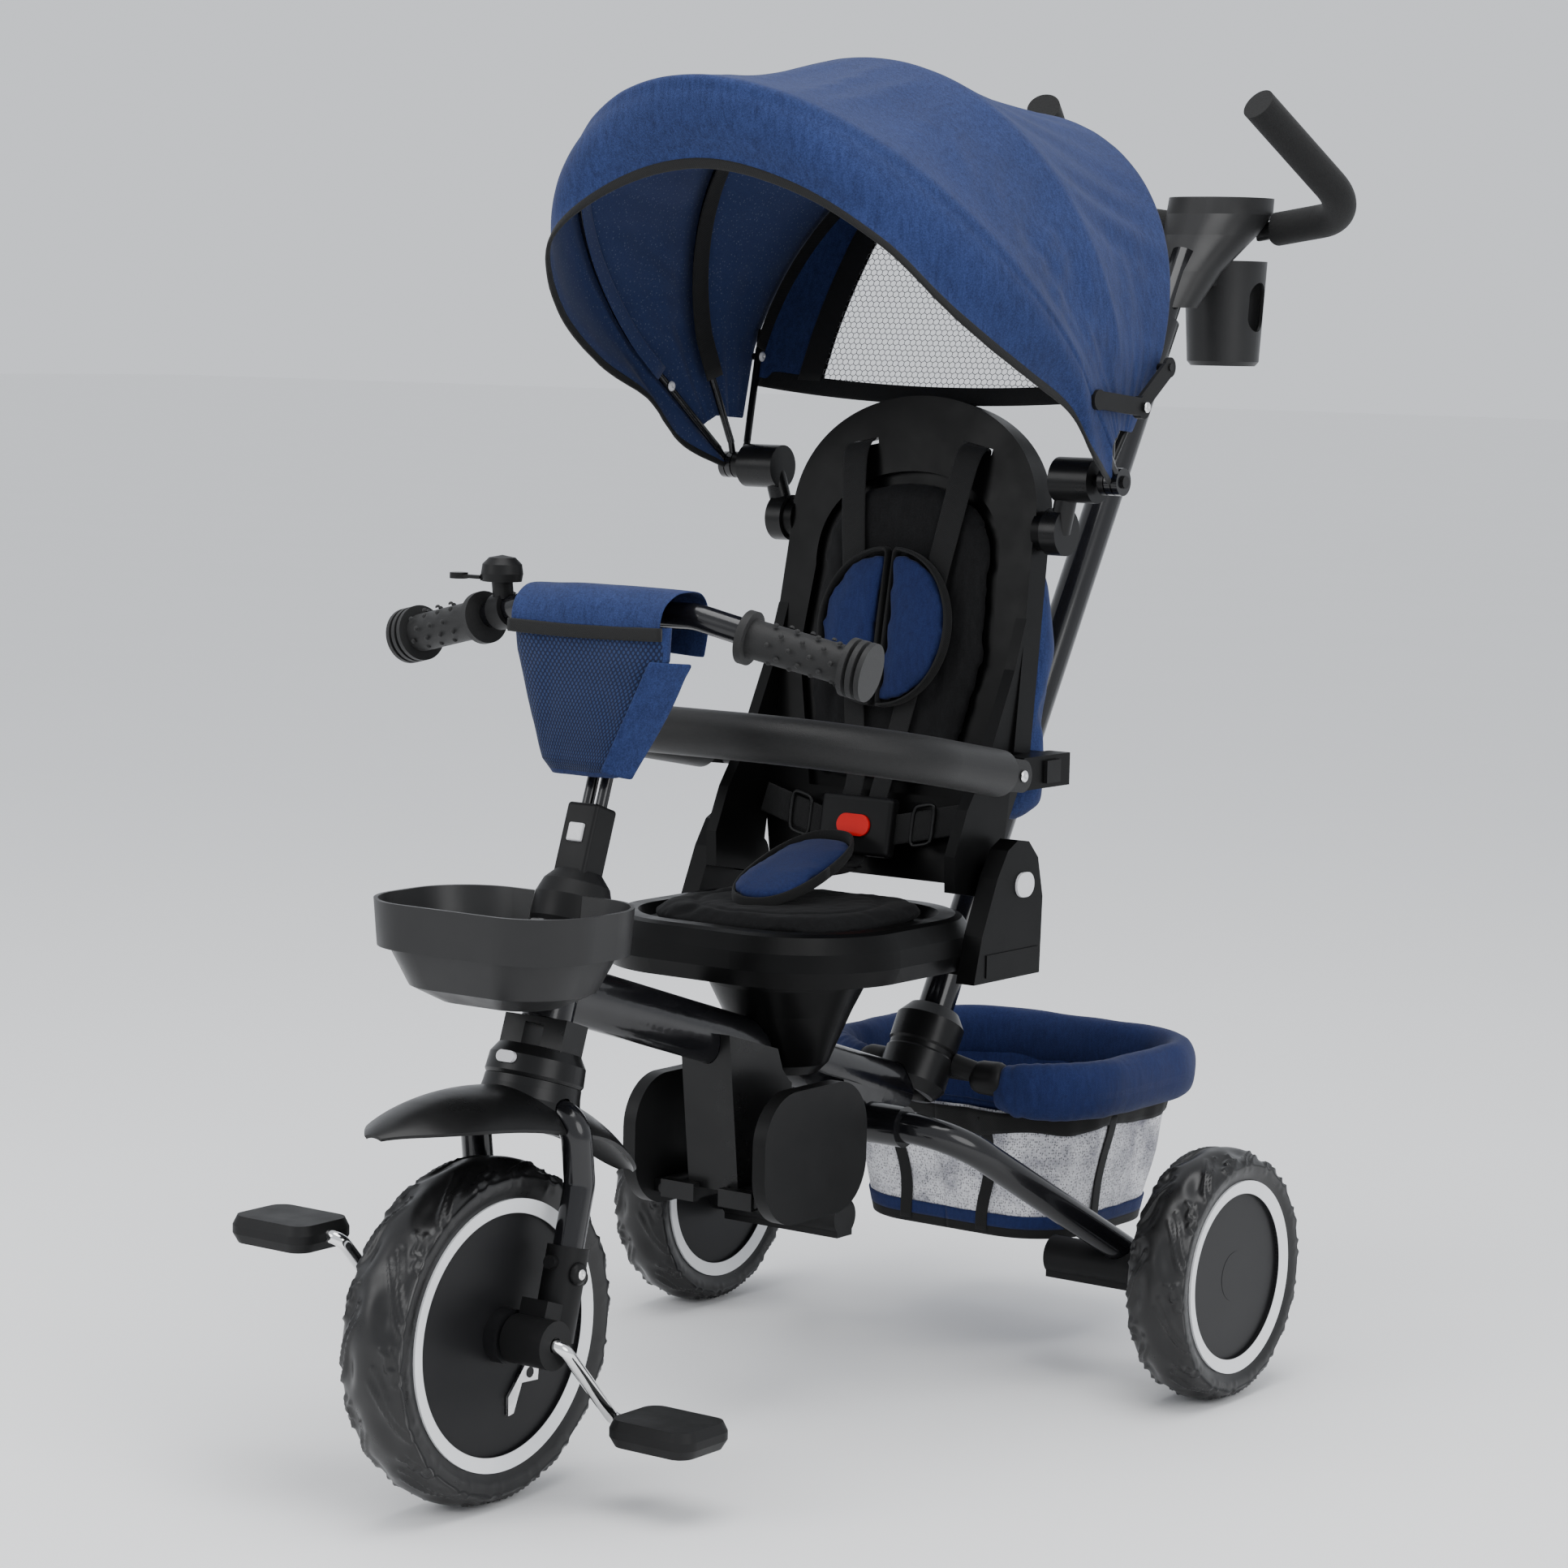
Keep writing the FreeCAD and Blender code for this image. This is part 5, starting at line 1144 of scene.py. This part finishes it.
flap = sheet_mesh("handlebar_flap", rows, NAVY)
rounded(thickened(flap, 0.0010))
settled(flap, "handlebar", "")
strip_path = [Vector((x, -0.3690 + 0.0012 * (x / 0.08) ** 2, high.z - 0.0265 - 0.0015 * math.cos(x * 20)))
              for x in np.linspace(0.0790, -0.0635, 41)]
strip = settled(band("handlebar_pouch_binding", strip_path, UP, Vector((0, -1, 0.05)), 0.0100, 0.0030,
                     BINDING),
                "handlebar", "")
hem_rows = []
for t in np.linspace(0, 1, 26):
    z = high.z - 0.046 - t * 0.084
    edge = np.interp(z, BAG_LEVELS, BAG_HALF) + np.interp(z, BAG_LEVELS, BAG_MIDDLE)
    wide = 0.0185 - 0.003 * t + 0.003 * math.exp(-((t / 0.06) ** 2))
    inner = Vector((edge - 0.008, -0.3700, z))
    outer = Vector((edge + wide - 0.010, -0.3430 - 0.004 * t + 0.003 * math.sin(t * 4),
                    z - 0.006 + 0.004 * math.exp(-t * 12)))
    hem_rows.append([inner * (1 - u) + outer * u + Vector((0, -0.003 * math.sin(math.pi * u), 0))
                     for u in np.linspace(0, 1, 9)])
hem = sheet_mesh("handlebar_pouch_hem", hem_rows, NAVY)
rounded(thickened(hem, 0.0022))
settled(hem, "handlebar", "")

# ---------------------------------------------------------------- storage basket

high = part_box("basket_carrier")[1]
HOOP_RADIUS = 0.006
HOOP_HALF = high.x - HOOP_RADIUS
HOOP_BACK = high.y - HOOP_RADIUS
HOOP_FRONT = HOOP_BACK - 0.232
HOOP_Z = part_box("storage_basket")[1].z - 0.017
BASKET_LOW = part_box("storage_basket")[0].z
DRAPE = 0.0065         # how far the folds of the walls stand out


def hoop_loop(inset, count):
    """Places round the basket at an inset from its hoop, and the outward way at each."""
    half, front, back = HOOP_HALF - inset, HOOP_FRONT + inset, HOOP_BACK - inset
    radius = 0.072 - 0.5 * inset
    loop = [(0, front)]
    for cx, cy, start in ((half - radius, front + radius, -90), (half - radius, back - radius, 0),
                          (-half + radius, back - radius, 90), (-half + radius, front + radius, 180)):
        loop += [(cx + radius * math.cos(math.radians(start + a)),
                  cy + radius * math.sin(math.radians(start + a)))
                 for a in np.linspace(0, 90, 19)]
    loop = resampled(loop + [(0, front)], count + 1)[:-1]
    ways = np.roll(loop, -1, axis=0) - np.roll(loop, 1, axis=0)
    outs = np.stack([ways[:, 1], -ways[:, 0]], 1)
    return loop, outs / np.linalg.norm(outs, axis=1, keepdims=True)


def wall_inset(z):
    """How far the walls have drawn in from the hoop at a height."""
    return 0.002 + 0.024 * (HOOP_Z - z) / 0.134


loop, outs = hoop_loop(0.0, 320)
kept = [k for k in range(320) if not (loop[k][1] < HOOP_FRONT + 0.02 and abs(loop[k][0]) < 0.064)]
rows = []
for n, k in enumerate(kept):
    end = min(n, len(kept) - 1 - n) / len(kept)
    tight = 1 - 0.30 * math.exp(-end * 60)
    row = []
    for a, (c, s) in zip(np.linspace(0, math.tau, 30, endpoint=False), circle(30)):
        gather = 0.0030 * ripple(n * 0.55, a * 0.9, 131) * math.exp(-end * 14)
        slack = 0.0011 * ripple(n * 0.09, a * 1.2, 132) + gather
        out = 0.0008 + (0.0142 * tight + slack) * bent(c, 0.85)
        up = -0.0085 + (0.0242 * tight + slack) * bent(s, 0.9)
        row.append(Vector((loop[k][0] + outs[k][0] * out, loop[k][1] + outs[k][1] * out, HOOP_Z + up)))
    rows.append(row)
rows = [[sum(rows[0], Vector()) / 30 * (1 - s) + p * s for p in rows[0]] for s in (0.45, 0.8)] + rows
rows += [[sum(rows[-1], Vector()) / 30 * (1 - s) + p * s for p in rows[-1]] for s in (0.8, 0.45)]
cuff = sheet_mesh("basket_cuff", rows, JERSEY, None, True)
rounded(cuff)
settled(cuff, "frame", "")


def wall_fold(turn, z, drape):
    """How far the folds of the walls stand out at a share of a turn and a height."""
    x, y = math.cos(turn * math.tau), math.sin(turn * math.tau)
    folds = ripple(x * 3.4, y * 3.4 + z * 9, 141) + ripple(x * 9, y * 9 + z * 22, 142) * 0.4
    return folds * drape * math.sin(math.pi * (HOOP_Z - z) / (HOOP_Z - BASKET_LOW))


def basket_ring(name, high_z, low_z, away, material, count, steps, drape, thick=0.0008, wave=0.0):
    """Cloth round the basket between two heights."""
    rows = []
    for step in range(steps + 1):
        z = high_z + (low_z - high_z) * step / steps
        ring, ways = hoop_loop(wall_inset(z), count)
        row = []
        for k in range(count + 1):
            m = k % count
            turn = m / count
            out = away + wall_fold(turn, z, drape)
            dip = wave * ripple(math.cos(turn * math.tau) * 2, math.sin(turn * math.tau) * 2,
                                143) * step / steps
            row.append(Vector((ring[m][0] + ways[m][0] * out, ring[m][1] + ways[m][1] * out, z + dip)))
        rows.append(row)
    made = sheet_mesh(name, rows, material)
    area = area_of(made)
    thickened(made, thick)
    settled(made, "frame", "")
    return made, area


walls, walls_area = basket_ring("basket_walls", HOOP_Z - 0.028, BASKET_LOW + 0.012, 0.0, KNIT, 240, 28,
                                DRAPE)
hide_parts("storage_basket")
lining_ring, lining_area = basket_ring("basket_lining", HOOP_Z - 0.022, HOOP_Z - 0.070, -0.0035, JERSEY,
                                       200, 10, 0.004)
upper_tape = basket_ring("basket_upper_tape", HOOP_Z - 0.030, HOOP_Z - 0.046, 0.0022, BINDING, 240, 5,
                         DRAPE, 0.0016, 0.010)[0]
low_navy = basket_ring("basket_low_trim", BASKET_LOW + 0.020, BASKET_LOW + 0.009, 0.0012, JERSEY, 200, 4,
                       0.003, 0.0016)[0]
low_tape = basket_ring("basket_low_tape", BASKET_LOW + 0.010, BASKET_LOW + 0.001, 0.0008, BINDING, 200, 4,
                       0.002, 0.0020)[0]
ring = hoop_loop(wall_inset(BASKET_LOW + 0.002), 120)[0]
centre_y = (HOOP_FRONT + HOOP_BACK) / 2
rows = []
for step in range(12):
    share = 1 - step / 11 * 0.98
    row = []
    for k in range(121):
        x, y = ring[k % 120]
        x, y = x * share, centre_y + (y - centre_y) * share
        row.append(Vector((x, y, BASKET_LOW + 0.0025 + 0.0015 * ripple(x * 22, y * 22, 151))))
    rows.append(row)
base = sheet_mesh("basket_base", rows, JERSEY)
thickened(base, 0.0022)
settled(base, "frame", "")
for number, k in enumerate((14, 50, 104, 136, 190, 226)):
    path = []
    outward = []
    for t in np.linspace(0, 1, 22):
        z = HOOP_Z - 0.036 - t * (HOOP_Z - 0.036 - BASKET_LOW - 0.004)
        ring, ways = hoop_loop(wall_inset(z), 240)
        out = 0.0022 + wall_fold(k / 240, z, DRAPE)
        drift = Vector((-ways[k][1], ways[k][0], 0)) * (0.004 * math.sin(t * 5 + number))
        path.append(Vector((ring[k][0] + ways[k][0] * out, ring[k][1] + ways[k][1] * out, z)) + drift)
        outward.append(Vector((ways[k][0], ways[k][1], 0.1)))
    across = [o.cross(UP) for o in outward]
    run = band("basket_strap_%d" % number, path, across, outward, 0.0115, 0.0015, BINDING, None, 0.4)
    settled(run, "frame", "")
for side, name in SIDES:
    ends = [k for k in range(320) if loop[k][1] < HOOP_FRONT + 0.02 and 0.040 < side * loop[k][0] < 0.070]
    ends.sort(key=lambda k: side * loop[k][0])
    path = [Vector((loop[k][0], loop[k][1], HOOP_Z - 0.001)) for k in ends]
    radii = np.interp(np.linspace(0, 1, len(path)), (0, 0.1, 0.25, 0.8, 1),
                      (0.0085, 0.0125, 0.014, 0.0145, 0.012))
    settled(tube("basket_plug_" + name, path, list(radii), PLASTIC, None, 28), "frame", "")

# ---------------------------------------------------------------- small metal and moulded details

rail_pin = Vector(JOINTS["guardrail_swing"]["pos_m"])
sockets_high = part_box("fork_sockets")[1]
for side, name in SIDES:
    boss = Vector((side * (sockets_high.x - 0.0092), sockets_high.y - 0.0246, sockets_high.z - 0.0205))
    screw("fork_bolt_boss_" + name, boss, LEFT * side, 0.0085, PLASTIC, "fork", 0.0045)
    screw("fork_bolt_" + name, boss + LEFT * (side * 0.0035), LEFT * side, 0.0042, ZINC, "fork", 0.0018)
    screw("rail_rivet_" + name, rail_pin + LEFT * (side * 0.1530), LEFT * side, 0.0048, ZINC, "guardrail",
          0.0018)

# The grips carry rows of bumps, seven along and five round.
GRIP_SKIN = 0.0150
BUMP = ((0.0021, -0.0006), (0.0017, 0.0007), (0.0008, 0.0013))    # its rings' radii and heights
low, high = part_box("handlebar_grips")
for side, name in SIDES:
    start = Vector((side * (high.x - 0.092), low.y + 0.0195, high.z - 0.0205))
    way = Vector((side * 0.091, 0.020, -0.020)).normalized()
    first = way.cross(UP).normalized()
    second = way.cross(first)
    vertices = []
    faces = []
    for n in range(7):
        for m in range(n % 2, 10, 2):
            angle = math.tau * m / 10
            out = first * math.cos(angle) + second * math.sin(angle)
            across = way.cross(out)
            centre = start + way * (0.014 + 0.0085 * n) + out * GRIP_SKIN
            first_index = len(vertices)
            for radius, height in BUMP:
                vertices += [centre + (way * c + across * s) * radius + out * height for c, s in circle(8)]
            for ring in (first_index, first_index + 8):
                for k in range(8):
                    after = (k + 1) % 8
                    faces.append((ring + k, ring + after, ring + 8 + after, ring + 8 + k))
            faces.append(tuple(first_index + 16 + k for k in range(8)))
    piece("grip_bumps_" + name, vertices, faces, RUBBER, "handlebar")

# ---------------------------------------------------------------- studio

floor_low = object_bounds()[0].z
FLOOR_REACH = 40.0
floor = piece("studio_ground", [(x * FLOOR_REACH, y * FLOOR_REACH, floor_low) for x,
                                y in ((-1, -1), (1, -1), (1, 1), (-1, 1))],
              [(0, 1, 2, 3)], pale_floor(), shaded=False)
floor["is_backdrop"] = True

world = bpy.data.worlds.new("studio_air")
bpy.context.scene.world = world
world.use_nodes = True
world.node_tree.nodes["Background"].inputs["Color"].default_value = (0.92, 0.95, 1.0, 1)
world.node_tree.nodes["Background"].inputs["Strength"].default_value = 0.95


def lamp(name, place, aim, size, power):
    """A large soft light aimed at a point."""
    data = bpy.data.lights.new(name, "AREA")
    data.shape = "DISK"
    data.size = size
    data.energy = power
    made = linked(name, data)
    made.location = place
    made.rotation_euler = (Vector(aim) - Vector(place)).to_track_quat("-Z", "Y").to_euler()


lamp("overhead_light", (0.3, -0.6, 3.0), (0, -0.1, 0.4), 2.4, 66)
lamp("side_light", (2.6, -0.9, 1.6), (0, -0.1, 0.5), 1.8, 30)
lamp("front_light", (-1.4, -2.8, 1.7), (0, -0.2, 0.5), 1.8, 26)

lens = bpy.data.cameras.new("camera")
lens.lens = 94.0
lens.sensor_width = 36.0
camera = linked("camera", lens)
aim = Vector((-0.0006, -0.1043, 0.4968))
camera.location = Vector((1.8803, -2.6893, 0.8531))
turn = (aim - camera.location).to_track_quat("-Z", "Y")
camera.rotation_mode = "QUATERNION"
camera.rotation_quaternion = turn @ Quaternion((0, 0, 1), math.radians(1.2))
bpy.context.scene.camera = camera

low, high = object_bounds()
